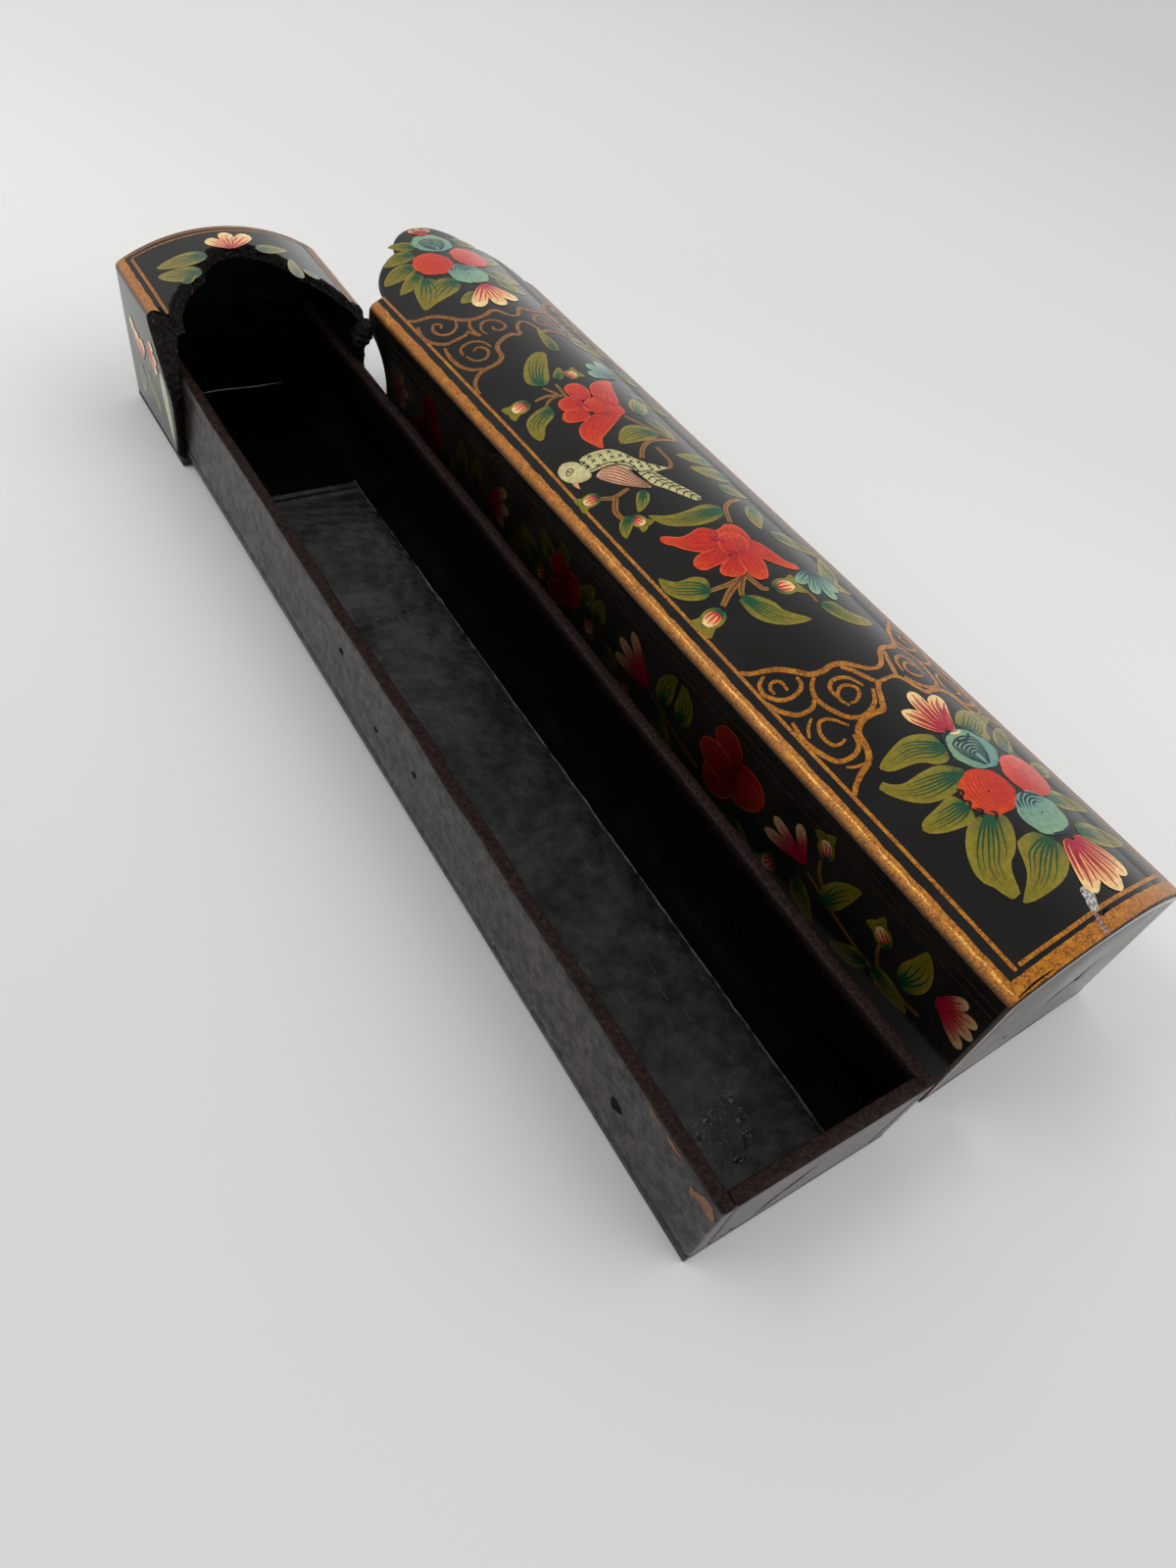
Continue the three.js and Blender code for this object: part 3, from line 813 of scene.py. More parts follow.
def build_tray():
    left = [(TRAY_LEFT, TRAY_FLOOR_TOP), (TRAY_LEFT + TRAY_FOOT, TRAY_FLOOR_TOP),
            (TRAY_LEFT + TRAY_RIM, TRAY_TOP), (TRAY_LEFT, TRAY_TOP)]
    cross = [(TRAY_LEFT + TRAY_FOOT, TRAY_FLOOR_TOP), (TRAY_RIGHT - TRAY_FOOT, TRAY_FLOOR_TOP),
             (TRAY_RIGHT - TRAY_RIM, TRAY_TOP), (TRAY_LEFT + TRAY_RIM, TRAY_TOP)]
    floor = [(TRAY_LEFT, TRAY_UNDERSIDE), (TRAY_RIGHT, TRAY_UNDERSIDE),
             (TRAY_RIGHT, TRAY_FLOOR_TOP), (TRAY_LEFT, TRAY_FLOOR_TOP)]
    cove = cove_outline()
    far_face = TRAY_LENGTH - TRAY_END_WALL
    for name, stands_for, outline, y1, round_to in (
        ("tray_wall_left", "tray_left_side", left, TRAY_LENGTH, 0.7),
        ("tray_wall_right", "tray_right_side", mirrored(left), TRAY_LENGTH, 0.7),
        ("tray_end_near", "tray_near_end", cross, TRAY_END_WALL, 0.6),
    ):
        slab(name, "drawer", WALL_MATERIAL, outline, 0, y1, [stands_for], round_to, TRAY_UNEVEN,
             TRAY_STEP, wall_marks)
    for name, stands_for, material, outline, y0, y1, round_to, marks in (
        ("tray_end_far", "tray_far_end", DEEP_MATERIAL, cross, far_face, TRAY_LENGTH, 0.5, None),
        ("tray_bottom", "tray_floor", WALL_MATERIAL, floor, 0, TRAY_LENGTH, 0.3, wall_marks),
        ("tray_cove_left", "tray_left_cove", DEEP_MATERIAL, cove, TRAY_END_WALL, far_face, 0.02, None),
        ("tray_cove_right", "tray_right_cove", DEEP_MATERIAL, mirrored(cove), TRAY_END_WALL, far_face, 0.02, None),
    ):
        slab(name, "drawer", material, outline, y0, y1, [stands_for], round_to, marks=marks)


# The flaked patch near the lining's left corner, as x from the tray's left face and y.
FLAKED = [(12.6, 11), (12.7, 15.5), (15, 16.8), (17, 17.5), (20, 18.6), (22.8, 18.6), (22, 14), (19.5, 9),
          (16, 7.5), (13, 9)]

# Creases across the lining: y at their middle, how much they slant, their height and their half width.
CREASES = [(145.5, 0.1, 0.30, 0.5), (191.2, 0, 0.28, 0.4), (193.4, 0, 0.28, 0.4)]


def flaking(x, y):
    """How far the varnish has flaked off the lining, strongest along the patch's edge."""
    centre = np.mean(FLAKED, axis=0)
    outline = np.array(closed_curve(FLAKED)) - centre
    way = np.arctan2(outline[:, 1], outline[:, 0])
    order = np.argsort(way)
    from_centre = np.stack([x - TRAY_LEFT - centre[0], y - centre[1]])
    limit = np.interp(np.arctan2(from_centre[1], from_centre[0]), way[order], np.hypot(*outline.T)[order],
                      period=2 * np.pi)
    beyond = np.hypot(*from_centre) - limit + 1.1 * ripple(x, y, 2.6, 51)
    broken = np.clip(0.3 + ripple(x, y, 3.1, 57) + 0.6 * ripple(x, y, 1.3, 58), 0, 1)
    return np.clip(1.0 - np.abs(beyond + 0.6) / 1.0, 0, 1) * broken + 0.55 * (broken > 0.8) * (beyond < 0)


def build_lining():
    """The lining with its curled right edge, which carries a painted highlight, its creases and flaked patch."""
    x0, x1 = TRAY_LEFT + TRAY_FOOT + COVE, TRAY_RIGHT - TRAY_FOOT - COVE
    columns = spread((x0, 0), (x1 - 1.6, 0.55), (x1, 0.16))
    y, x = np.meshgrid(np.arange(TRAY_END_WALL, LINING_END + 0.01, 0.6), columns, indexing="ij")
    flaked = flaking(x, y)
    curl = np.sin(np.pi * np.clip((x - x1) / 0.6 + 1 + 0.12 * ripple(y, 0 * y, 9.0, 52), 0, 1))
    height = LINING_TOP + 0.2 + 0.10 * ripple(x, y, 9.0, 53) + 0.05 * ripple(x, y, 2.5, 54)
    for middle, slant, tall, half in CREASES:
        height += tall * np.exp(-((y - middle - slant * (x - 20)) / half) ** 2)
    height += 0.5 * curl * (1 + 0.3 * ripple(y, 0 * y, 4.0, 55))
    height -= flaked * (0.22 + 0.2 * ripple(x, y, 1.2, 56))
    outer = np.stack([x, y, np.maximum(height, TRAY_FLOOR_TOP + 0.15)], -1)
    inner = np.stack([x, y, np.full(x.shape, TRAY_FLOOR_TOP + 0.02)], -1)
    points, faces = closed_sheet(outer, inner)
    obj = new_object("tray_floor_lining", points, faces, "drawer", [LINING_MATERIAL], ["tray_lining"])
    # The painted highlight along the curl, fading further back.
    lit = curl ** 2 * np.interp(y, [150, 200], [1, 0.35])
    for name, values in (("flaked", flaked), ("lit_edge", lit)):
        set_values(obj.data, name, np.concatenate([values.ravel(), np.zeros(values.size)]))


# Painting. Shapes are laid on a face, each a little above what it covers.

def spline(a, b, c, d, t):
    """Points between b and c on the smooth line through four points."""
    return 0.5 * (2 * b + (c - a) * t + (2 * a - 5 * b + 4 * c - d) * t ** 2 + (3 * b - a - 3 * c + d) * t ** 3)


def curve(points, steps):
    """A smooth line through the points."""
    p = np.array(points, float)
    if len(p) < 3:
        return p[0] + (p[-1] - p[0]) * np.linspace(0, 1, 2 * steps)[:, None]
    ends = np.concatenate([[2 * p[0] - p[1]], p, [2 * p[-1] - p[-2]]])
    t = np.linspace(0, 1, steps, endpoint=False)[:, None]
    return np.concatenate([spline(*four, t) for four in zip(ends, ends[1:], ends[2:], ends[3:])] + [p[-1:]])


def closed_curve(points):
    """A smooth closed line through the points."""
    p = np.array(points, float)
    t = np.linspace(0, 1, CLOSED_STEPS, endpoint=False)[:, None]
    return np.concatenate([spline(*(p[(i + k) % len(p)] for k in (-1, 0, 1, 2)), t) for i in range(len(p))])


def normals(line):
    """The unit normal to the left of a line at each of its points."""
    way = np.gradient(line, axis=0)
    way = way / np.maximum(np.hypot(*way.T), 1e-9)[:, None]
    return np.stack([-way[:, 1], way[:, 0]], -1)


def along_line(line, t):
    """Points on a line at shares of its length."""
    length = np.concatenate([[0], np.cumsum(np.hypot(*np.diff(line, axis=0).T))])
    return np.stack([np.interp(t * length[-1], length, line[:, k]) for k in (0, 1)], -1)


def two_sides(outline, base, tip):
    """The left and the right side of an outline, both from its base to its tip."""
    line = closed_curve(outline)
    line = np.roll(line, -np.argmin(np.hypot(*(line - base).T)), axis=0)
    away = np.hypot(*(line - line[0]).T) if tip is None else -np.hypot(*(line - tip).T)
    turn = np.argmax(away)
    first, second = line[:turn + 1], np.concatenate([line[turn:], line[:1]])[::-1]
    s, y = line.T
    return (second, first) if np.sum(s * np.roll(y, -1) - np.roll(s, -1) * y) > 0 else (first, second)


def mixed(a, b, t):
    """Colours from a to b by t."""
    t = np.clip(np.asarray(t, float), 0, 1)[..., None]
    return np.asarray(a) * (1 - t) + np.asarray(b) * t


class Painting:
    """Painted shapes gathered into one thin mesh on a face. lay gives points for s, y and a lift, and dim
    the share of the colours' brightness that is left at y."""

    def __init__(self, name, body, material, lay=None, slot="painted_lacquer", flip=False, dim=None):
        self.name, self.body, self.material, self.slot, self.flip = name, body, material, slot, flip
        self.lay = lay or (lambda s, y, lift: on_section(s, y, lift, body))
        self.dim = dim or (lambda y: 1.0)
        self.points, self.faces, self.colours, self.count = [], [], [], 0

    def patch(self, s, y, colour, lift):
        """A grid of points with one colour each."""
        rows, columns = s.shape
        self.points.append(self.lay(s, y, lift).reshape(-1, 3))
        self.faces.append(grid_faces(rows, columns, self.count, self.flip))
        shaded = np.asarray(colour) * np.broadcast_to(self.dim(y), s.shape)[..., None]
        self.colours.append(shaded.reshape(-1, 3))
        self.count += rows * columns

    def stroke(self, points, width, colour, lift, taper=0.5, steps=6):
        """A brush stroke; width is its full width, or its widths from start to end."""
        line = curve(points, steps)
        t = np.linspace(0, 1, len(line))
        if np.ndim(width):
            half = np.interp(t, np.linspace(0, 1, len(width)), width) / 2
        else:
            half = width / 2 * (1 - taper * np.abs(2 * t - 1) ** 3)
        side = normals(line) * half[:, None]
        grid = np.stack([line + side, line - side], 1)
        self.patch(grid[..., 0], grid[..., 1], colour, lift)

    def fill(self, reach, colour, lift, across, along):
        """A patch over all that can be reached at u along and v across."""
        u, v = np.meshgrid(np.linspace(0.012, 0.988, along), np.linspace(1, -1, across + 1), indexing="ij")
        at = reach(u, v)
        self.patch(at[..., 0], at[..., 1], colour(u, v) if callable(colour) else colour, lift)
        return reach

    def shape(self, outline, base, colour, lift, tip=None, across=ACROSS, along=ALONG):
        """A patch inside an outline; returns how to reach a place on it."""
        left, right = two_sides(outline, base, tip)

        def reach(u, v):
            a, b = along_line(left, np.asarray(u, float)), along_line(right, np.asarray(u, float))
            return b + (a - b) * (0.5 + 0.5 * np.asarray(v, float))[..., None]

        return self.fill(reach, colour, lift, across, along)

    def blade(self, base, tip, width, bend, form, colour, lift):
        """A leaf or petal from base to tip; returns how to reach a place on it."""
        base, tip = np.array(base, float), np.array(tip, float)
        middle = (base + tip) / 2 + bend * np.array([-(tip - base)[1], (tip - base)[0]]) / np.hypot(*(tip - base))

        def reach(u, v):
            u, v = np.asarray(u, float)[..., None], np.asarray(v, float)
            spine = (1 - u) ** 2 * base + 2 * u * (1 - u) * middle + u ** 2 * tip
            way = 2 * (1 - u) * (middle - base) + 2 * u * (tip - middle)
            way = way / np.maximum(np.linalg.norm(way, axis=-1, keepdims=True), 1e-9)
            side = np.stack([-way[..., 1], way[..., 0]], -1)
            return spine + side * (v * form(u[..., 0]) * width / 2)[..., None]

        return self.fill(reach, colour, lift, ACROSS, ALONG)

    def build(self):
        obj = new_object(self.name, np.concatenate(self.points), np.concatenate(self.faces), self.body,
                         [self.material], crease=180)
        colours = np.concatenate([np.concatenate(self.colours), np.ones((self.count, 1))], 1)
        layer = obj.data.color_attributes.new("paint", "FLOAT_COLOR", "POINT")
        layer.data.foreach_set("color", colours.astype(np.float32).ravel())


# How high the painted layers lie over the face, so that each covers what is under it.
BAND_LIFT = 0.03
CROSS_LIFT = 0.035
SCROLL_LIFT = 0.04
BRANCH_LIFT = 0.045
LEAF_LIFT = 0.05
BALL_LIFT = 0.08
BUD_LIFT = 0.09
PETAL_LIFT = 0.1
TOP_PETAL_LIFT = 0.13
TOUCH_LIFT = 0.19


def leaf_form(u):
    """How wide a leaf is at u along it, as a share of its width."""
    return np.sin(np.pi * np.clip(u, 0, 1) ** 0.72) ** 0.62 * (1 - 0.1 * u)


def petal_form(u):
    """How wide a petal is at u along it, as a share of its width."""
    return np.clip(u, 0, 1) ** 0.7 * np.sqrt(np.clip(1 - u ** 5, 0, 1)) + 0.12 * (1 - u)


def leaf_colour(u, v):
    """Dark at the base, olive further on and lighter towards the edges."""
    green = mixed(LEAF_DARK, OLIVE, u * 2.6 - 0.1 + 0.25 * np.abs(v))
    return mixed(green, OLIVE_LIGHT, (np.abs(v) - 0.5) * 0.9 * (u > 0.2))


def draw_veins(p, reach, count, lift):
    """Dark strokes that run up a leaf from its base and thin out."""
    for k, v in enumerate(np.linspace(-0.7, 0.7, count)):
        u = np.linspace(0.02, 0.86 - 0.22 * abs(v) - 0.1 * (k % 2), 6)
        spread_out = v * np.linspace(0.25, 1, 6) ** 0.8
        p.stroke(reach(u, spread_out), (0.62, 0.44, 0.26, 0.05), LEAF_DARK, lift + 0.02, 0, 3)


def leaf(p, base, tip, width, bend, count, lift=LEAF_LIFT):
    """An olive leaf with its dark base and dark veins."""
    draw_veins(p, p.blade(base, tip, width, bend, leaf_form, leaf_colour, lift), count, lift)


def leaves(p, table, count=4):
    """Leaves given as base, tip, width and bend."""
    for base, tip, width, bend in table:
        leaf(p, base, tip, width, bend, count)


def leaf_in(p, outline, base, count):
    """A leaf inside an outline."""
    draw_veins(p, p.shape(outline, base, leaf_colour, LEAF_LIFT), count, LEAF_LIFT)


def petal_colours(root, body, end, sharp=2.6):
    """A petal's colour at u and v, from its root over its body to its end."""
    return lambda u, v: mixed(mixed(root, body, u * sharp - 0.12 + 0.2 * v ** 2), end, (u - 0.5) * 2.4)


CREAM_PETAL = petal_colours(CRIMSON, PEACH, CREAM, 3.8)
SIDE_PETAL = petal_colours(CRIMSON, srgb(196, 92, 76), srgb(220, 176, 124), 1.25)
TEAL_PETAL = petal_colours(TEAL_DARK, TEAL, TEAL_PALE)
RED_PETAL = petal_colours(RED_DEEP, RED, RED_ORANGE, 3.4)
SIDE_RED_PETAL = petal_colours(srgb(96, 16, 18), srgb(152, 30, 26), srgb(172, 46, 32), 2.2)


def petal_strokes(p, reach, lift, count, ink, length=0.82, width=(0.56, 0.46, 0.14)):
    """Strokes that run up a petal from its root."""
    for v in np.linspace(-0.66, 0.66, count):
        u = np.linspace(0.06, length - 0.2 * abs(v), 5)
        p.stroke(reach(u, np.full(5, v)), width, ink, lift + 0.01, 0, 3)


def fan(p, base, tips, width, lift=PETAL_LIFT, colour=CREAM_PETAL, ink=CRIMSON):
    """An open flower seen from the side, dark at its base."""
    for i, tip in enumerate(tips):
        at = lift + 0.012 * (i % 2)
        petal_strokes(p, p.blade(base, tip, width, 0.0, petal_form, colour, at), at, 3, ink)


def fan_in(p, outlines, base):
    """A side-on flower with each petal inside its outline."""
    for i, outline in enumerate(outlines):
        at = TOP_PETAL_LIFT + 0.022 * (i % 2)
        reach = p.shape(outline, base, CREAM_PETAL, at)
        petal_strokes(p, reach, at, 4, BROWN, 0.8, (0.26, 0.2, 0.08))
        petal_strokes(p, reach, at + 0.004, 3, CRIMSON, 0.86, (0.8, 0.66, 0.2))


def red_petals(p, petals, colour=RED_PETAL, ink=RED_DEEP):
    """Overlapping red petals, each an outline, its base and its tip, rimmed with lighter red."""
    for i, (outline, base, tip) in enumerate(petals):
        at = PETAL_LIFT + 0.02 * (i % 4)
        reach = p.shape(outline, base, colour, at, tip, 8)
        petal_strokes(p, reach, at, 4, ink, 0.88, (0.26, 0.2, 0.16, 0.05))
        for v in (-0.95, 0.95):
            u = np.linspace(0.25, 0.97, 9)
            p.stroke(reach(u, np.full(9, v)), (0.08, 0.3, 0.34, 0.2), RED_LIGHT, at + 0.006, 0, 3)


def ball(p, centre, radii, colours, toward, ink, arcs, weight=1.0, meet=None):
    """A round flower with strokes nested round a point, which may run together at meet; arcs holds that
    point, the strokes' radii, their middle direction and how far they turn each way."""
    (s0, y0), (rx, ry), ((cs, cy), stroke_radii, middle, turn_by) = centre, radii, arcs
    r, t = np.meshgrid(np.linspace(0.04, 1, 6), np.linspace(2 * np.pi, 0, 33), indexing="ij")
    edge = 1 + 0.025 * np.sin(7 * t + cs) + 0.015 * np.sin(12 * t)
    s, y = s0 + r * edge * rx * np.cos(t), y0 + r * edge * ry * np.sin(t)
    light = 0.5 + 0.75 * ((s - s0) / rx * math.cos(toward) + (y - y0) / ry * math.sin(toward))
    p.patch(s, y, mixed(*colours, light), BALL_LIFT)
    width = np.array([0.1, 0.4, 0.44, 0.4, 0.1]) * weight
    turns = np.linspace(-1, 1, 13)
    for k, radius in enumerate(stroke_radii):
        turn = middle + turn_by * turns
        line = np.stack([cs + radius * np.cos(turn), cy + radius * np.sin(turn)], -1)
        if meet is not None:
            pull = np.clip(np.abs(turns) * 2 - 1, 0, 1)[:, None] ** 1.5 * 0.85
            line = line * (1 - pull) + np.array(meet) * pull
        inside = ((line[:, 0] - s0) / rx) ** 2 + ((line[:, 1] - y0) / ry) ** 2 < 0.9
        if inside.sum() > 2:
            p.stroke(line[inside], width, ink, BALL_LIFT + 0.014 + 0.004 * (k % 2), 0, 3)


def teal_ball(p, centre, radii, arcs_at, toward, meet, collar=None):
    """A blue-green round flower, with a dark line across it at collar."""
    arcs = (arcs_at, np.arange(1.1, 5.4, 0.8), math.pi / 2, 1.3)
    ball(p, centre, radii, (TEAL, TEAL_PALE), toward, TEAL_DARK, arcs, meet=meet)
    if collar:
        p.stroke(collar, 0.75, TEAL_DARK, 0.112)


def red_ball(p, centre, radii, arcs_at, middle, toward, light=RED_ORANGE):
    """A red round flower, lighter towards one side."""
    arcs = (arcs_at, np.arange(0.9, 8.6, 0.85), middle, 1.15)
    ball(p, centre, radii, (RED, light), toward, srgb(184, 34, 30), arcs, 0.6)


def bud_form(u):
    return np.sin(np.pi * np.clip(0.08 + 0.84 * u, 0, 1)) ** 0.6


def bud(p, centre, toward, size):
    """A striped bud held in a round cup of two leaves; toward is its direction in degrees."""
    centre, angle = np.array(centre, float), math.radians(toward)
    way = np.array([math.cos(angle), math.sin(angle)])
    side = np.array([-way[1], way[0]])
    for k in (-1, 1):
        tip = centre + way * size * 1.2 + side * k * size * 1.05
        leaf(p, centre - way * size, tip, size * 1.55, -k * size * 1.1, 2, BUD_LIFT - 0.03)
    reach = p.blade(centre - way * size * 0.66, centre + way * size * 0.7, size * 1.12, 0, bud_form, CREAM_PETAL,
                    BUD_LIFT)
    petal_strokes(p, reach, BUD_LIFT, 3, CRIMSON, 0.85, (0.45, 0.4, 0.15))


def branch(p, points, width):
    """A twig with a brown line along its middle."""
    p.stroke(points, (width, width, width * 0.8), BRANCH, BRANCH_LIFT)
    p.stroke(points, (width * 0.3, width * 0.24, 0.1), BROWN, BRANCH_LIFT + 0.004)


# The gold band down an eave: s of its columns and how bright each is; the outer columns are darker as painted shade
# where the band turns down over the eave.
BAND_COLUMNS = np.array([23.8, 24.5, 25.2, 25.8, 26.4, 27.0])
BAND_PAINTED_SHADE = np.array([1.0, 1.0, 1.0, 0.8, 0.32, 0.06])
FAR_MARGIN = 0.5


def band(p, y_of, y1, k, step=1.5):
    """The gold band down one eave, from the near edge given for each s to y1."""
    s, shade = (BAND_COLUMNS * k)[::k], BAND_PAINTED_SHADE[::k]
    rows = np.linspace(0, 1, int((y1 - y_of(s).min()) / step))[:, None]
    y = y_of(s) + (y1 - y_of(s)) * rows
    ragged = (0.14 * ripple(y, 0 * y, 6.0, 31) + 0.1 * ripple(y, s, 1.3, 32)) * (np.abs(s) < BAND_COLUMNS[1])
    # Each column is darkened by its shade, as painted shade where the band turns down over the eave.
    p.patch(s + ragged, y, shade[:, None] * WHOLE, BAND_LIFT)


# Painted highlight along the band's left arris, a bright streak standing for the glint there: from y to y, and how
# wide.
PAINTED_HIGHLIGHT_RUNS = [(0.9, 17, 0.6), (18.5, 34, 0.5), (35, 57, 0.46), (60, 79, 0.5), (80, 104, 0.4), (107, 122, 0.24)]
PAINTED_HIGHLIGHT_S = -24.9
LINE_SHADE = 0.07


def build_gold():
    """The sleeve's gold bands and lines."""
    p = Painting("sleeve_gold", "sleeve", GOLD_MATERIAL)
    far = SLEEVE_LENGTH - FAR_MARGIN
    for k in (-1, 1):
        band(p, lambda s: np.full(s.shape, 0.35), far, k)
        line = [(21.8, 4.0), (21.7, 30), (21.85, 60), (21.7, 90), (21.8, 120), (21.6, 150), (21.75, 180), (22.2, far)]
        p.stroke([(s * k, y) for s, y in line], 0.7, WHOLE, BAND_LIFT, 0.0, 18)
        for s0 in (29.5, 31.5):
            line = [(s0 * k + 0.1 * math.sin(y), y) for y in np.linspace(1, far - 12, 9)]
            p.stroke(line, 0.26, LINE_SHADE * WHOLE, BAND_LIFT, 0.0, 14)
    # The painted highlight along the left arris.
    for y0, y1, width in PAINTED_HIGHLIGHT_RUNS:
        line = [(PAINTED_HIGHLIGHT_S + 0.12 * math.sin(1.7 * y), y) for y in np.linspace(y0, y1, 8)]
        p.stroke(line, (0.1, width, 0.7 * width, width, 0.1), PAINTED_HIGHLIGHT, 0.045, 0.5, 8)
    across = np.linspace(-BAND_COLUMNS[0], BAND_COLUMNS[0], 90)
    y, s = np.meshgrid(np.array([0.35, 1.2, 2.2, 3.15]), across, indexing="ij")
    p.patch(s, y + 0.12 * ripple(s, y, 3.0, 33) * ((y < 0.5) | (y > 3)), WHOLE, CROSS_LIFT)
    p.stroke([(-20.8, 4.5), (-10, 4.35), (0, 4.5), (10, 4.4), (21.2, 4.6)], 0.75, WHOLE, CROSS_LIFT, 0.0, 14)
    p.build()


def build_scrolls(p):
    """The gold scroll corners at both ends of the sleeve's top."""
    near = [
        ([(-21.4, 76.5), (-20, 75), (-17, 73.6), (-15, 72.3), (-13, 70.3), (-11.4, 68.4), (-9, 67.6), (-6, 67.8),
          (-3.5, 67), (-1.5, 65.2), (0, 64), (2, 63.4)], 1.0),
        ([(-21.4, 43.5), (-20.3, 44.6), (-18, 46), (-15.5, 47), (-14, 48.5), (-13.2, 50.5), (-12.7, 52.6),
          (-11.5, 54), (-9.5, 54.8), (-7, 54.9), (-5, 54.7), (-4, 55.8), (-3, 57.3), (-2, 59), (-0.5, 60.3),
          (2, 60.5)], 1.0),
        ([(-5, 66.8), (-3.6, 65.2), (-2.5, 63.2), (-1.5, 61.4), (-0.7, 60.3)], 0.9),
        ([(-21.6, 68), (-21, 65.5), (-20, 63.8), (-18.7, 62.4), (-17, 62), (-15.4, 62.2), (-14.2, 63.4)], 0.8),
        ([(-13.6, 69.2), (-13.9, 67.6), (-15, 66.5), (-17, 66.1), (-18.8, 66.6), (-20, 67.8), (-20.9, 69.8),
          (-20.2, 72), (-18.4, 73)], 0.75),
        ([(-16.9, 67.8), (-16.7, 69.9), (-17.8, 70.9), (-19.1, 70.2), (-19.3, 68.6)], 0.6),
        ([(-11, 67.3), (-12.6, 66), (-13.8, 63.6), (-13.6, 61), (-12.8, 58.7), (-11.6, 56.6), (-9.5, 55.4),
          (-7, 55.8), (-5, 56.9), (-4, 58.1), (-3, 59.6)], 0.8),
        ([(-10.4, 61), (-10.3, 63.4), (-9, 64.7), (-7, 64.7), (-5.2, 63.5), (-4.2, 61)], 0.7),
        ([(-9.7, 58.6), (-10.3, 60.4), (-9.7, 62), (-8, 62.9), (-6.5, 62.3), (-5.7, 61), (-6.5, 59.6),
          (-8, 58.8), (-9.2, 58.9)], 0.6),
        ([(-20.6, 61.8), (-21.3, 58), (-21, 55), (-20.2, 52), (-19.1, 50.3), (-17, 49.7), (-15.2, 50.1),
          (-14, 51.3), (-13.4, 53.2)], 0.8),
        ([(-20.3, 57.3), (-19, 59.2), (-17.3, 60.4)], 0.5),
        ([(-12.9, 55.2), (-14, 57.3), (-15.2, 58.6), (-16.8, 58.8), (-18, 57.2), (-18.3, 55.3), (-17.8, 53.5),
          (-16.5, 53), (-15.3, 53.3)], 0.6),
        ([(-19, 48.7), (-17.5, 47.7), (-16, 47.4)], 0.5),
    ]
    far = [
        ([(-22, 207.5), (-20.5, 205.9), (-18.5, 205.1), (-16.5, 204.3), (-14.5, 202.6), (-12.8, 200.5),
          (-11.5, 198.9), (-9.5, 197.8), (-7.5, 197.6), (-5, 198), (-3, 199), (-1.5, 198.7), (-0.5, 197.3),
          (0.7, 195.9), (2, 195.4)], 1.0),
        ([(-21, 173.8), (-20.9, 175.5), (-20, 177.7), (-18, 179.3), (-16, 179.8), (-13.5, 179.8), (-11.5, 180.4),
          (-10.2, 181.9), (-9.9, 184), (-9.3, 185.5), (-8, 186.6), (-5.5, 187.8), (-3.5, 188.2), (-2.2, 187.6),
          (-1.2, 188.4), (-0.8, 190), (0.3, 191.8), (2, 192.9)], 0.95),
        ([(-21, 203.5), (-21.8, 200), (-21.4, 197), (-20, 194.6), (-18.3, 193.3), (-16, 193.1), (-13.6, 193.2),
          (-12, 194.3)], 0.8),
        ([(-12.7, 199.5), (-13.4, 197.6), (-15, 196.2), (-17, 196.2), (-18.4, 197.6), (-18.7, 199.8),
          (-17.6, 201.4), (-16.3, 200.3), (-16.9, 198.9)], 0.65),
        ([(-9.6, 197.7), (-10.9, 195.6), (-11.1, 193), (-10.6, 191), (-12.6, 194.2)], 0.7),
        ([(-8.9, 190.8), (-9.3, 192.8), (-8, 195), (-6, 195.7), (-4, 194.8), (-3, 193), (-3.4, 191.5),
          (-5, 190.8), (-6.4, 191.6), (-6, 193)], 0.6),
        ([(-19.7, 192.6), (-20.3, 189), (-20, 185), (-18.5, 181.8), (-16, 180.3)], 0.8),
        ([(-17.5, 187.3), (-17, 189.5), (-15, 190.3), (-13, 190), (-11.3, 188.5), (-10.6, 186)], 0.65),
        ([(-17.3, 186.5), (-16.3, 184), (-14.2, 183), (-12.4, 184.2), (-12, 186), (-13.3, 187.6),
          (-15, 186.9)], 0.6),
    ]
    axis, reach = 2.0, 21.6
    squeeze = (reach - axis) / (reach + axis)
    for i, (points, width) in enumerate(near + far):
        shade = 1.0 if i < len(near) else 0.62
        other_side = [(axis + (axis - s) * squeeze, y) for s, y in reversed(points)]
        for line in (points, other_side):
            p.stroke(line, width * 1.25, shade * WHOLE, SCROLL_LIFT + 0.004 * (i % 3), 0.35, 5)


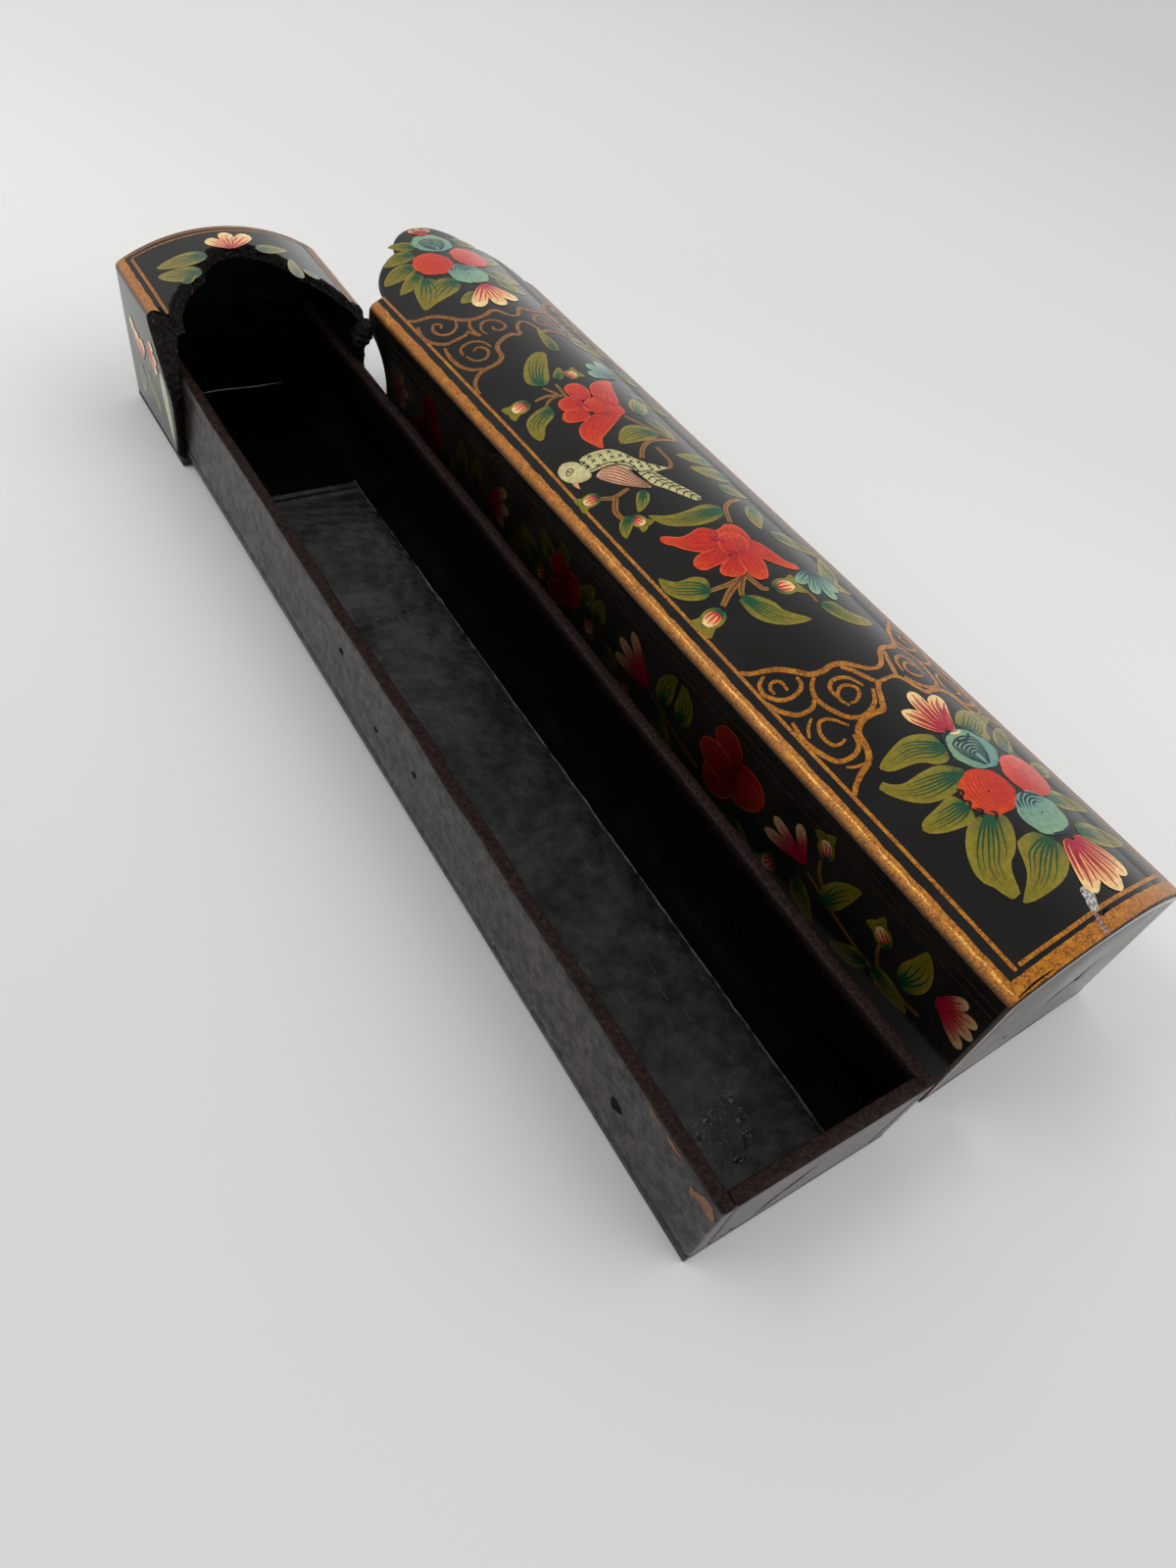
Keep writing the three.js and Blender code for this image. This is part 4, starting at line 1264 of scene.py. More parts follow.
def build_near_bouquet(p):
    """The bouquet near the sleeve's closed end."""
    for outline, base in [
        ([(-14.5, 45), (-12.5, 46.2), (-8, 47.5), (-5, 47.6), (-1.5, 46.3), (-0.5, 45), (-1, 42), (-2.3, 39.8),
          (-5, 40), (-6.5, 41.3), (-8.5, 42.3), (-13, 43.2)], (-1, 42.6)),
        ([(-17, 42.3), (-16, 42.7), (-15, 41.3), (-13, 40.2), (-9, 40.3), (-5.5, 40), (-3, 38.5), (-1.3, 36.5),
          (-3, 35.2), (-6, 34), (-9.5, 33.9), (-13, 35.2), (-15.5, 37.8), (-17.2, 41)], (-1.8, 36)),
        ([(-16.7, 31), (-15.7, 32.6), (-12, 33.3), (-8, 33.8), (-6.8, 31), (-7.3, 28.5), (-9, 27.7), (-12, 28.2),
          (-15, 29.3)], (-6.8, 31)),
        ([(-7.5, 28.2), (-10, 27.6), (-13, 25), (-15, 21.5), (-15.5, 18.5), (-14.3, 16), (-14.2, 14), (-13, 13.1),
          (-11.5, 13.6), (-10.8, 15.5), (-9, 18.3), (-6.5, 19.6), (-4.2, 21.8), (-2.8, 24), (-2.5, 26.3),
          (-4, 27.3)], (-4.6, 27.4)),
        ([(-2.5, 21.2), (-0.5, 21), (1, 19.5), (2.3, 17), (1.8, 14.5), (-1, 12.3), (-4, 11.2), (-8, 10.9),
          (-11.5, 11.2), (-12.6, 12), (-10.5, 13.5), (-8, 15.5), (-6.5, 18), (-5.2, 20.5), (-4, 21)], (1.6, 18.4)),
        ([(6.5, 45.8), (9, 48), (12.5, 48.8), (16, 47.5), (18.5, 45.5), (14, 43.5), (12, 41), (10.5, 40.3),
          (9.8, 42.5), (8.2, 44.5)], (8, 44.4)),
    ]:
        leaf_in(p, outline, base, 6)
    leaves(p, [((12, 37), (20, 43), 4.6, 0.8), ((15, 31), (22, 32), 4.4, 0.4), ((10, 25.5), (19.5, 20.6), 5.2, 1.0),
               ((9, 18), (20.5, 12.6), 5.8, -1.0)], 5)
    teal_ball(p, (4.7, 40), (5.5, 5.0), (4.3, 38), 2.4, (4.5, 35.4),
              [(2.5, 43), (4, 42.2), (5.8, 42.3), (7.3, 43.3)])
    p.stroke([(-0.6, 42.2), (1, 44.6), (4, 45.4), (7.5, 44.3), (9.6, 41.5)], 0.5, TEAL_DARK, 0.118)
    p.stroke([(3, 44.4), (4.6, 44.1), (6, 44.4)], 0.6, CREAM, 0.122)
    red_ball(p, (-1, 31.2), (5.7, 5.1), (3.6, 31), math.pi, math.pi)
    for s, y in [(-7, 31), (-6.3, 28.6), (-4.5, 26.9), (-6.4, 33.4)]:
        p.stroke([(s - 0.2, y - 1), (s + 0.9, y), (s + 0.2, y + 1)], (0.2, 0.7, 0.2), INK, 0.12)
    red_ball(p, (10.8, 31.3), (5.3, 5.3), (6.6, 31.2), 0.0, 1.2, RED_PINK)
    teal_ball(p, (5.2, 23.3), (5.2, 5.2), (6, 24.6), -1.7, None, [(3, 18.9), (5.5, 18.3), (8, 18.9)])
    fan_in(p, [
        [(2, 45.2), (1, 45.5), (-0.5, 47), (-2.5, 50), (-2.3, 52.5), (-1, 52.7), (0.5, 52), (1.3, 51), (2.2, 48.5),
         (2.8, 46)],
        [(2.5, 46), (1.6, 48.5), (1.2, 51), (1.3, 54), (2.3, 55.5), (3.5, 55.9), (4.7, 55.2), (5, 53.5),
         (4.9, 51.5), (4.4, 48.5), (3.8, 46)],
        [(3.4, 45.3), (4.2, 48), (5, 51.5), (5.5, 52.8), (7, 53.6), (8.7, 53.6), (9.7, 52.3), (9, 50.5),
         (7.5, 48.5), (5.5, 45.5), (4.4, 44.8)],
    ], (2.8, 45.2))
    p.stroke([(4, 46), (6.4, 49), (9, 51.2)], (0.9, 0.6, 0.2), CRIMSON, 0.175)
    fan_in(p, [
        [(5, 17), (3, 16.8), (0.5, 13), (-1.3, 9), (-1.2, 7.5), (0, 6.5), (1.5, 7.3), (2.8, 8.2), (4, 11), (5.3, 15)],
        [(5, 16.5), (3.6, 12), (2.8, 8.4), (3, 6.5), (4.2, 5), (5.5, 4.9), (6.8, 6), (7.8, 7.5), (7.4, 11),
         (6.6, 15)],
        [(6, 16.5), (7, 12), (7.8, 7.6), (9, 6.7), (10.5, 7), (11.4, 8.8), (11, 11.5), (9.5, 14.5), (8, 16.8)],
    ], (5.8, 17))
    p.stroke([(7.4, 16.5), (4.4, 14.6), (1.5, 11.5)], (0.9, 0.6, 0.2), CRIMSON, 0.175)


def build_far_bouquet(p):
    """The bouquet on the tongue."""
    leaves(p, [
        ((-7.6, 229.6), (-16.6, 228.6), 5.0, -0.6), ((-5.6, 232), (-12, 235.4), 4.4, -0.4),
        ((-10, 224.6), (-20, 222.2), 6.0, -0.8), ((-10.6, 218.6), (-16.6, 207.4), 7.2, 2.0),
        ((-3.6, 214), (-14.8, 208), 7.4, -2.4), ((8, 224), (15.4, 224), 5.6, 1.0), ((7, 218.4), (15, 213), 6.4, -1.0),
        ((7.4, 213.6), (12.8, 206.6), 5.0, -0.6), ((-1, 207.4), (-8, 204.8), 4.2, 0.0),
        ((6, 234), (12.4, 232), 4.6, 0.5), ((-10.6, 221), (-18.6, 216.6), 4.6, 0.6),
    ])
    teal_ball(p, (-0.5, 233), (5.5, 4.5), (-0.5, 230), 1.6, (-0.5, 229))
    red_ball(p, (-5.4, 223.4), (5.3, 5.2), (-1, 223.4), math.pi, math.pi)
    red_ball(p, (6, 225), (5.0, 5.0), (2, 225), 0.0, 1.0, RED_PINK)
    teal_ball(p, (1, 216.5), (5.2, 5.0), (1.6, 217.6), -1.6, None, [(-1, 212), (1, 211.6), (3.4, 212)])
    fan(p, (2, 211), [(-5, 201.5), (1.5, 200.3), (7, 202.5)], 5.4, TOP_PETAL_LIFT)
    brown_petal = petal_colours(RED_DEEP, BROWN, PEACH)
    fan(p, (-1, 237), [(-3.6, 240.2), (-0.8, 240.9), (2, 240.2)], 2.8, TOP_PETAL_LIFT, brown_petal)


# The two red flowers on the top, petal by petal: outline, base and tip.
RED_FLOWERS = [
    [([(-13.8, 113), (-12.8, 112.5), (-10.5, 110.6), (-8, 110.5), (-5.5, 111), (-3.5, 110), (-2.2, 108), (-3, 105.5),
       (-5, 104), (-7.5, 104), (-9.6, 105), (-11.5, 107), (-13, 109.5), (-14.4, 111.5)], (-3, 106), (-14.2, 112.6)),
     ([(-7, 100.2), (-9, 100.2), (-11.5, 100.4), (-12.8, 102), (-12, 103.8), (-10, 104.6), (-7.5, 104.5), (-5, 104),
       (-4.5, 102), (-5.5, 100.8)], (-4.5, 102.5), None),
     ([(-4.5, 96), (-6.3, 95.5), (-8.5, 96.3), (-9.5, 98), (-8.5, 99.5), (-7, 100.2), (-5, 101), (-3.5, 101),
       (-3.8, 98.5)], (-3.6, 101.2), None),
     ([(0.9, 96.9), (0, 94.8), (-1.5, 92.8), (-3.2, 92.5), (-4.4, 94), (-4.5, 96), (-4.2, 98.5), (-3, 101),
       (-0.5, 101.5), (0.8, 99.5)], (-1.5, 101.5), None),
     ([(3.2, 103.8), (4.7, 102), (5.5, 99), (6.3, 96), (8.1, 94), (7.9, 93), (6.8, 92.8), (4.5, 94.3), (2, 97),
       (0.5, 99), (0, 101.5), (1.5, 103.8)], (1, 103), (8, 93)),
     ([(-2.6, 108.6), (-1, 109), (0.5, 109.7), (2.3, 109.3), (3.5, 107.8), (3.6, 106), (3.2, 103.8), (1.5, 103),
       (-1, 104), (-2.5, 106)], (0, 103.6), (1.5, 109.6)),
     ([(-5.4, 103.4), (-4, 106.4), (-1.6, 107.6), (1, 106.6), (2, 104.4), (1, 102), (-1.6, 100.6), (-4.2, 101.2)],
      (-2.6, 100.8), None)],
    [([(-5, 152.5), (-9, 150.5), (-10.5, 147.5), (-9.8, 144.5), (-8.5, 142), (-7.3, 144), (-7, 144.8), (-3, 147),
       (1, 149.5), (3, 151), (1.5, 153), (-2, 153.5)], (-0.5, 152.9), (-8.5, 142.2)),
     ([(-4, 156.5), (-6.5, 157.2), (-9, 156.6), (-10.6, 154.8), (-10.4, 153.2), (-8, 152.2), (-5.5, 152), (-4, 154)],
      (-3.8, 155), None),
     ([(-3.5, 157.5), (-3.3, 160.2), (-5.5, 161), (-8, 160.4), (-9.1, 158.4), (-8.6, 156.8), (-6, 156.2)],
      (-3.4, 158), None),
     ([(0.5, 158), (1.2, 161.5), (3, 163.8), (6, 164.9), (9.7, 165.1), (8.5, 162.5), (6.8, 158.5), (5.5, 155.5),
       (3, 155)], (1.5, 156.5), (9.7, 165)),
     ([(1, 152), (2.5, 150.8), (4.5, 151.8), (5, 154), (4.5, 156), (2.5, 156.5), (0.5, 155)], (0.6, 154), None),
     ([(-4.6, 161.5), (-4.3, 164), (-2.5, 165.2), (-0.3, 165), (1, 163), (0.6, 160.5), (-1, 158.5), (-3.5, 159)],
      (-1.6, 158.7), None),
     ([(-4.4, 155.5), (-2.7, 157.9), (0.5, 158.8), (2.4, 157), (2.6, 154.5), (1.2, 152.4), (-1.8, 152.6)],
      (0, 152.4), None)],
]


def build_garden(p):
    """The bird, the two red flowers and what grows between them."""
    for points, width in [
        ([(-6, 162), (-9, 163.5), (-12.5, 163.5)], 0.9), ([(-5.5, 161), (-5, 166.5)], 0.8),
        ([(-7, 162.5), (-7, 163.5), (-8.5, 166.5)], 0.8), ([(-7, 162.5), (-9.5, 162), (-11.5, 160.5)], 0.8),
        ([(-2.5, 135.5), (0, 138.5), (4, 140.5), (12, 140)], 1.1),
        ([(3.5, 138), (3.3, 133), (2, 130.8), (0, 130.5)], 0.9), ([(3.5, 150.5), (6.5, 145.5), (10, 141)], 0.9),
        ([(-17.5, 129.5), (-15, 128), (-11, 128.5)], 1.1), ([(-15, 127.5), (-17, 124.5), (-17, 121.5)], 1.3),
        ([(2.5, 110), (5, 114.5), (8, 116.5), (12, 117.3)], 1.1), ([(-4.6, 95.6), (-9, 94.8), (-14.6, 95.6)], 1.2),
        ([(-5, 95.4), (-10.4, 93.4), (-14.4, 91)], 1.5), ([(-6, 95.2), (-8.6, 92.6), (-9.6, 91)], 1.3),
        ([(-5.4, 95.4), (-5, 92.2), (-4.6, 90.4), (-3.6, 90)], 1.2), ([(3.4, 88), (4, 85.6), (3.8, 83)], 0.8),
    ]:
        branch(p, points, width)
    for outline, base, count in [
        ([(-10.8, 170), (-8, 175.5), (-3.5, 179.2), (-0.3, 179), (-1, 176.5), (-3, 173), (-5.5, 168.5), (-8, 167)],
         (-8, 167.4), 5),
        ([(-11, 160.5), (-15, 160.3), (-18, 158.5), (-19, 154), (-18, 151.8), (-16.5, 153), (-15, 155), (-11.5, 157)],
         (-11.2, 158.8), 4),
        ([(8, 143), (5.4, 146), (2, 147), (-1.4, 145.6), (-4, 141.8), (-1, 140.9), (3, 140.8), (6.4, 141.4)],
         (8, 142.4), 5),
        ([(-12.2, 119.5), (-9, 117.3), (-5, 116.7), (0, 117.1), (3, 116.3), (4.2, 114.5), (3, 112.8), (0, 111.7),
          (-4, 111.6), (-7, 112.5), (-10.3, 114.5), (-11.8, 117)], (4, 114), 6),
        ([(-20.3, 104.5), (-19.3, 103), (-17.8, 101.3), (-15, 100.6), (-13.3, 99.3), (-12.9, 97.8), (-14, 95.6),
          (-15.8, 94.4), (-18.5, 95.8), (-20.5, 98.5), (-21.2, 101.5)], (-14, 95.8), 5),
        ([(-10.6, 90.8), (-8, 90.3), (-6, 88), (-5, 86), (-4.9, 84), (-3.5, 82), (-1.3, 79.8), (-1.8, 79.1),
          (-4, 79.3), (-7, 80.3), (-9.5, 82.3), (-11, 85), (-11.2, 88)], (-9.6, 90.9), 5),
        ([(3.5, 82), (5.5, 82.8), (8, 82), (9, 79.5), (11, 77.5), (13, 75.8), (12.3, 74.3), (9.5, 74.2),
          (6.5, 75.8), (4.3, 78.5)], (4.4, 82), 4),
    ]:
        leaf_in(p, outline, base, count)
    leaves(p, [
        ((-4, 168), (-0.5, 172.4), 2.6, -0.8), ((3, 178.5), (4, 188.6), 3.4, -0.6),
        ((14, 114.4), (8.7, 106.6), 4.6, -1.4),
        ((10, 105), (19.4, 96.8), 5.0, 1.2), ((12, 87), (20, 97.4), 5.0, -1.0), ((8, 150.6), (15.4, 158.6), 5.0, 1.4),
        ((9, 150), (11.2, 140), 4.0, 1.0), ((16, 132), (6.6, 134.6), 4.4, 1.0), ((17, 126), (6.8, 129.8), 5.4, 1.4),
        ((-8.6, 126.6), (-13.4, 121.4), 3.0, 0.8), ((-8.4, 126.2), (-11.6, 122.6), 2.0, -0.6),
        ((-15.4, 121.6), (-19.4, 117), 3.0, -1.0), ((14, 172), (20, 165), 4.4, 0.8), ((12, 186), (17, 176), 4.6, 0.8),
        ((10, 92), (17, 84), 4.4, -0.8), ((9, 122), (16, 118), 4.0, 0.6), ((12, 160), (20, 152), 4.4, -0.8),
    ])
    for centre, toward, size in [((-16.5, 163.8), 185, 2.6), ((0.8, 168.8), 15, 2.2), ((-19.5, 130.5), 175, 2.2),
                                 ((-14.7, 119.2), -70, 2.0), ((-18, 89.7), 190, 2.9), ((0.3, 89.2), -5, 2.9)]:
        bud(p, centre, toward, size)
    for flower in RED_FLOWERS:
        red_petals(p, flower)
    for points, width in [([(-5.4, 107.2), (-4, 106.6), (-3, 105)], (0.3, 1.4, 0.4)),
                          ([(-4.5, 103), (-3, 101.4), (-1.5, 100.5)], 0.6),
                          ([(-5, 158), (-4, 157.4), (-3, 156)], (0.3, 1.3, 0.4))]:
        p.stroke(points, width, CRIMSON, TOUCH_LIFT)
    for base, tips, width in [((11, 92.5), [(3.8, 89), (5.3, 85), (9, 82.5), (12, 84.5)], 3.8),
                              ((13, 166.6), [(5.6, 168.6), (7.6, 172.6), (12, 174.4)], 4.4)]:
        fan(p, base, tips, width, BALL_LIFT, TEAL_PETAL, TEAL_DARK)
    build_bird(p)


def shaded(colour):
    """A colour that darkens towards both edges of a shape."""
    return lambda u, v: mixed(colour, colour * 0.7, np.abs(v) * 0.8 - 0.25)


def build_bird(p):
    """The bird: body, tail, head, wing and their strokes."""
    body = p.shape([
        (-15, 141.5), (-12.5, 142.2), (-9, 141.8), (-6.5, 140.5), (-5, 138), (-3.5, 135), (-1.5, 132.7), (0.8, 130.8),
        (0.3, 130.4), (-2.5, 130.4), (-5.5, 131.8), (-8, 134), (-10, 136), (-13.5, 136.8), (-15, 137.5),
    ], (-15, 139.5), shaded(BIRD), 0.085, (0.8, 130.6), 8, 20)
    tail = p.shape([
        (-6.5, 131.8), (-6, 129), (-5.8, 127), (-4, 124.5), (-1.8, 121), (-0.2, 118.8), (0.9, 118.5), (1.8, 119.5),
        (1, 121.8), (-0.8, 125.5), (-2.3, 129), (-3, 130.6),
    ], (-4.8, 131.4), shaded(BIRD), 0.095, (1.2, 118.6), 4, 16)
    p.shape([
        (-15.2, 139), (-15.5, 141.3), (-17, 142.7), (-18.8, 143), (-20.4, 141.8), (-20.8, 139.8), (-20.3, 137.9),
        (-18.8, 136.3), (-16.5, 135.7), (-15, 136.6),
    ], (-15, 138), shaded(BIRD_HEAD), 0.1, (-20.8, 140))
    wing = p.shape([
        (-14.6, 135.4), (-12, 136.6), (-9.6, 136.5), (-8, 134.6), (-7.3, 131), (-6.4, 127.3), (-6.9, 126.3),
        (-9, 127.6), (-11.5, 130), (-13.4, 132.5),
    ], (-13.6, 136), shaded(BIRD_PINK), 0.115, (-6.8, 126.6), 6, 16)
    for v in np.linspace(-0.8, 0.8, 6):
        u = np.linspace(0.12, 0.95, 6)
        p.stroke(wing(u, np.full(6, v)), 0.25, srgb(60, 34, 26), 0.13, 0.6, 3)
    p.stroke([(-14.5, 136.8), (-10, 136.5), (-7, 134.5), (-6.5, 131), (-6.1, 127.4)], 0.36, INK, 0.135)
    p.stroke([(-14.6, 137.7), (-10, 137.5), (-6.4, 135.3), (-5.8, 131.6)], 0.26, INK, 0.135)
    for u in np.linspace(0.08, 0.94, 10):
        p.stroke(tail(u + 0.04 * np.array([0.6, -0.6, 0.6]), np.array([-0.95, 0, 0.95])), 0.32, INK, 0.115)
    for u in (0, 0.5):
        p.stroke(tail(np.linspace(0, 0.96, 6), np.full(6, u)), 0.18, INK, 0.119)
    for i, u in enumerate(np.linspace(0.12, 0.9, 9)):
        for v in (-0.55, 0.1, 0.68) if i % 2 else (-0.2, 0.42):
            centre = body(np.array([u]), np.array([v]))[0]
            for turn in (0.5, 2.0):
                way = 0.85 * (1 - 0.4 * u) * np.array([math.cos(turn), math.sin(turn)])
                p.stroke([centre - way, centre + 0.15, centre + way], 0.26, INK, 0.109 + 0.004 * turn)
    for k in range(6):
        s, y = -15.6 + 0.2 * k, 141.2 - 0.85 * k
        p.stroke([(s, y), (s + 1.1, y - 0.2)], 0.26, INK, 0.119)
    eye = [(-19.5, 139.6), (-18.9, 140.5), (-18, 140.9), (-17.5, 140.2), (-18.2, 139.5), (-19.1, 139.3),
           (-19.5, 139.6)]
    p.stroke(eye, 0.24, INK, 0.117, 0.2)
    p.stroke([(-18.7, 140.2), (-18.2, 140.1)], 0.5, INK, 0.121)
    p.stroke([(-19.2, 136.8), (-19.4, 135.6), (-19.3, 134.6)], (1.3, 0.8, 0.1), srgb(214, 150, 110), 0.117)


# The red flowers on a side wall, petal by petal: outline, base and tip.
SIDE_FLOWERS = [
    [([(-43.5, 65.5), (-44.5, 62), (-43, 58.5), (-40, 56.5), (-37, 57), (-35, 60), (-35, 63.5), (-37, 66),
       (-40, 66.5)], (-39.5, 66), (-40, 56.6)),
     ([(-40, 64), (-43, 63.5), (-46.5, 65), (-48, 68), (-47, 71.5), (-44, 73), (-41.5, 71.5), (-40, 68)],
      (-40, 64.5), None),
     ([(-38.5, 65), (-37.5, 69), (-36, 72.5), (-33.5, 73.2), (-31.5, 71), (-31.8, 67.5), (-34.5, 65)],
      (-38, 65), None),
     ([(-42.5, 66), (-43.5, 70), (-42.5, 74), (-40, 75.8), (-37.5, 74.5), (-36.5, 71), (-37.5, 67)],
      (-40, 65.5), None)],
    [([(-43, 126), (-44, 123), (-42, 120), (-39, 119.4), (-36, 121), (-35.6, 124.4), (-38, 127)], (-40, 127), None),
     ([(-40, 124), (-43, 124), (-46, 126), (-46, 129), (-43.5, 131), (-41, 129)], (-40, 125), None),
     ([(-39, 125), (-40, 129), (-38, 132), (-35, 131), (-34, 128), (-36, 125)], (-39, 125.4), None)],
    [([(-42, 189), (-44, 185), (-42, 181), (-39, 180), (-36.6, 182), (-36.6, 186), (-39, 189)], (-40, 189), None),
     ([(-39, 187), (-38, 184), (-35, 183), (-32, 185), (-32, 189), (-35, 190.4)], (-38.6, 187.6), None),
     ([(-41, 186), (-44, 187), (-46, 190), (-44, 194), (-40.6, 194), (-38.6, 190)], (-40.4, 187), None)],
]


SIDE_LEAVES = [
    ((-43, 16.4), (-32, 15.6), 6.4, -3.0), ((-46, 22), (-47.2, 11.8), 4.4, 0.6), ((-46, 23), (-50.6, 31), 4.4, 1.0),
    ((-45, 36), (-34.5, 31), 5.4, 1.6), ((-45.4, 44), (-51, 35.6), 4.8, -0.8), ((-42, 83), (-33, 85), 5.6, -3.0),
    ((-42, 88), (-33, 86.6), 5.4, 2.6), ((-45.4, 90), (-49, 82), 4.6, 0), ((-44, 110), (-45.6, 103), 5.0, 0),
    ((-40, 113), (-34.5, 112), 5.6, 1.0), ((-39.6, 119), (-33.4, 115.6), 4.6, 1.0),
    ((-36, 127), (-31, 128.6), 4.4, 0.6), ((-37.6, 131), (-32.6, 137), 4.6, 1.0), ((-41, 136), (-37, 144), 4.6, 1.0),
    ((-44, 138), (-44.6, 148), 5.6, 0), ((-41, 163), (-33.4, 164), 5.0, 1.4), ((-41, 170), (-33.4, 173), 5.2, -1.0),
    ((-41, 178), (-45.6, 171), 4.8, 0), ((-42, 198), (-46.4, 204), 4.4, 0), ((-49, 62), (-52.4, 54), 4.0, 0.6),
    ((-48, 112), (-52, 120), 4.2, -0.6), ((-47, 160), (-52, 152), 4.2, 0.6),
]
SIDE_BUD = 2.5


def build_side(p):
    """The flowering stem along a side wall."""
    for points in [[(-45, 10), (-46, 22), (-44.6, 32), (-42, 42)], [(-46.5, 74), (-45, 82), (-42, 92)],
                   [(-46, 20), (-42, 22.5), (-39, 23)], [(-43, 36), (-40, 39.5), (-37, 40.8)],
                   [(-44, 118), (-42, 128), (-41, 140), (-40, 150)], [(-41, 158), (-40, 172), (-39, 182)]]:
        branch(p, points, 0.8)
    leaves(p, SIDE_LEAVES)
    for base, tips, width in [
        ((-38.5, 9.6), [(-42.4, 1.2), (-38.6, 0.8), (-35.4, 1.6), (-33.2, 5)], 4.6),
        ((-41, 43), [(-42.8, 54), (-38.4, 53.4), (-34.5, 48)], 4.6),
        ((-41.5, 93), [(-42, 105), (-37.5, 105), (-33.5, 102)], 5.0),
        ((-39, 158), [(-42.6, 150.4), (-38.4, 149.4), (-34, 151.4)], 5.0),
        ((-38, 205), [(-41, 198), (-37.4, 197), (-34.4, 200)], 4.4),
    ]:
        fan(p, base, tips, 0.76 * width, PETAL_LIFT, SIDE_PETAL)
    for centre, toward in [((-38, 23.5), 60), ((-33.8, 41), 30), ((-49, 50), 150), ((-48, 99), 120),
                           ((-43, 115), 200), ((-43, 134), 140)]:
        bud(p, centre, toward, SIDE_BUD)
    for flower in SIDE_FLOWERS:
        red_petals(p, flower, SIDE_RED_PETAL, srgb(84, 14, 18))


def turned_round(s, y, lift):
    """The sleeve's left side turned round on to its right side."""
    return on_section(-s, SLEEVE_LENGTH - 12 - y, lift, "sleeve")


def left_painted_shade(y):
    """Painted shade on the left side's paint: the share of its brightness that is left at y, less further back, where
    the side lies in shade between the tray and the sleeve.
    """
    return np.interp(y, [0, 40, 110, 160], [0.3, 0.23, 0.1, 0.06])


def build_sleeve_painting():
    """Everything painted on the sleeve but its gold bands."""
    for name, material, painter, lay, dim in (
        ("scrolls", SCROLL_MATERIAL, build_scrolls, None, None),
        ("near_bouquet", PAINT_MATERIAL, build_near_bouquet, None, None),
        ("far_bouquet", PAINT_MATERIAL, build_far_bouquet, None, None),
        ("bird_and_flowers", PAINT_MATERIAL, build_garden, None, None),
        # The left stem's colours are darkened by painted shade.
        ("left_stem", PAINT_MATERIAL, build_side, None, left_painted_shade),
        ("right_stem", PAINT_MATERIAL, build_side, turned_round, lambda y: 0.6),
    ):
        p = Painting(f"sleeve_{name}", "sleeve", material, lay, dim=dim)
        painter(p)
        p.build()


def build_hood_painting():
    """The hood's gold and flowers."""
    p = Painting("hood_gold", "drawer", GOLD_MATERIAL)
    break_s, break_y = np.array(LEFT_BREAK + RIGHT_BREAK).T
    for k, start in ((-1, 222.6), (1, 220.4)):
        band(p, lambda s: np.interp(s, break_s, break_y) + 1.0, DRAWER_LENGTH - FAR_MARGIN, k, 1.0)
        p.stroke([(22.4 * k, start), (22.3 * k, 235), (22.4 * k, 247)], 0.7, 0.8 * WHOLE, BAND_LIFT, 0.0, 12)
    across = np.linspace(-BAND_COLUMNS[0], BAND_COLUMNS[0], 80)
    y, s = np.meshgrid(np.array([248.3, 248.9, 249.5]), across, indexing="ij")
    p.patch(s, y, 0.5 * WHOLE, CROSS_LIFT)
    p.stroke([(-22.4, 247.3), (-10, 247.1), (0, 247.3), (22.4, 247.2)], 0.6, 0.6 * WHOLE, CROSS_LIFT, 0.0, 20)
    p.build()
    p = Painting("hood_flowers", "drawer", HAZY_PAINT_MATERIAL)
    leaves(p, [
        ((-7, 237.6), (-18.8, 239.0), 5.6, 0.8), ((-10.4, 231.4), (-19.6, 236), 5.6, 1.2),
        ((-15.4, 229), (-11.6, 233), 3.0, 0), ((5, 238), (13.6, 239.6), 4.2, 0.4),
        ((11, 225.6), (12.6, 235.4), 3.6, 0.4), ((17, 227.6), (13.6, 231), 3.0, 0),
    ])
    fan(p, (-0.6, 238.8), [(-5, 243.8), (0.2, 246.2), (5.6, 245.2)], 4.8)
    for k in (1, -1):
        leaves(p, [((s0 * k, y0), (s1 * k, y1), width, bend * k) for (s0, y0), (s1, y1), width, bend in (
            ((-45, 232), (-38, 227), 4.6, 1.0), ((-46, 236), (-54, 229), 4.8, 1.0),
            ((-47, 240), (-56, 243), 4.6, 0.6), ((-43, 238), (-35, 243), 4.4, 1.0))])
        fan(p, (-44 * k, 238), [(-36 * k, 243.6), (-37.6 * k, 240), (-38 * k, 235.6)], 4.4)
        fan(p, (-38 * k, 231.6), [(-34.6 * k, 227.6), (-38 * k, 225.8), (-41.6 * k, 226.6)], 3.6)
        p.blade((-39 * k, 223.6), (-57 * k, 221), 4.6, -0.6 * k, leaf_form, srgb(178, 184, 146), 0.07)
    p.build()


def on_end(x, z, lift):
    """A place on a near end face."""
    return np.stack([x, 0 * x - lift, z], -1)


def unevenly(points):
    return uneven(points.reshape(-1, 3)).reshape(points.shape)


def on_tray_end(x, z, lift):
    return unevenly(on_end(x, z, lift))


def on_tray_side(y, z, lift):
    return unevenly(np.stack([TRAY_LEFT - lift + 0 * y, y, z], -1))


def on_tray_floor(x, y, lift):
    return np.stack([x, y, TRAY_FLOOR_TOP + lift + 0 * x], -1)


BARE_PALE = srgb(206, 202, 196)
BARE_MID = srgb(84, 78, 72)
BARE_TAN = srgb(116, 88, 70)
BARE_RED = srgb(120, 50, 36)
FLOOR_LINE = srgb(120, 116, 110)

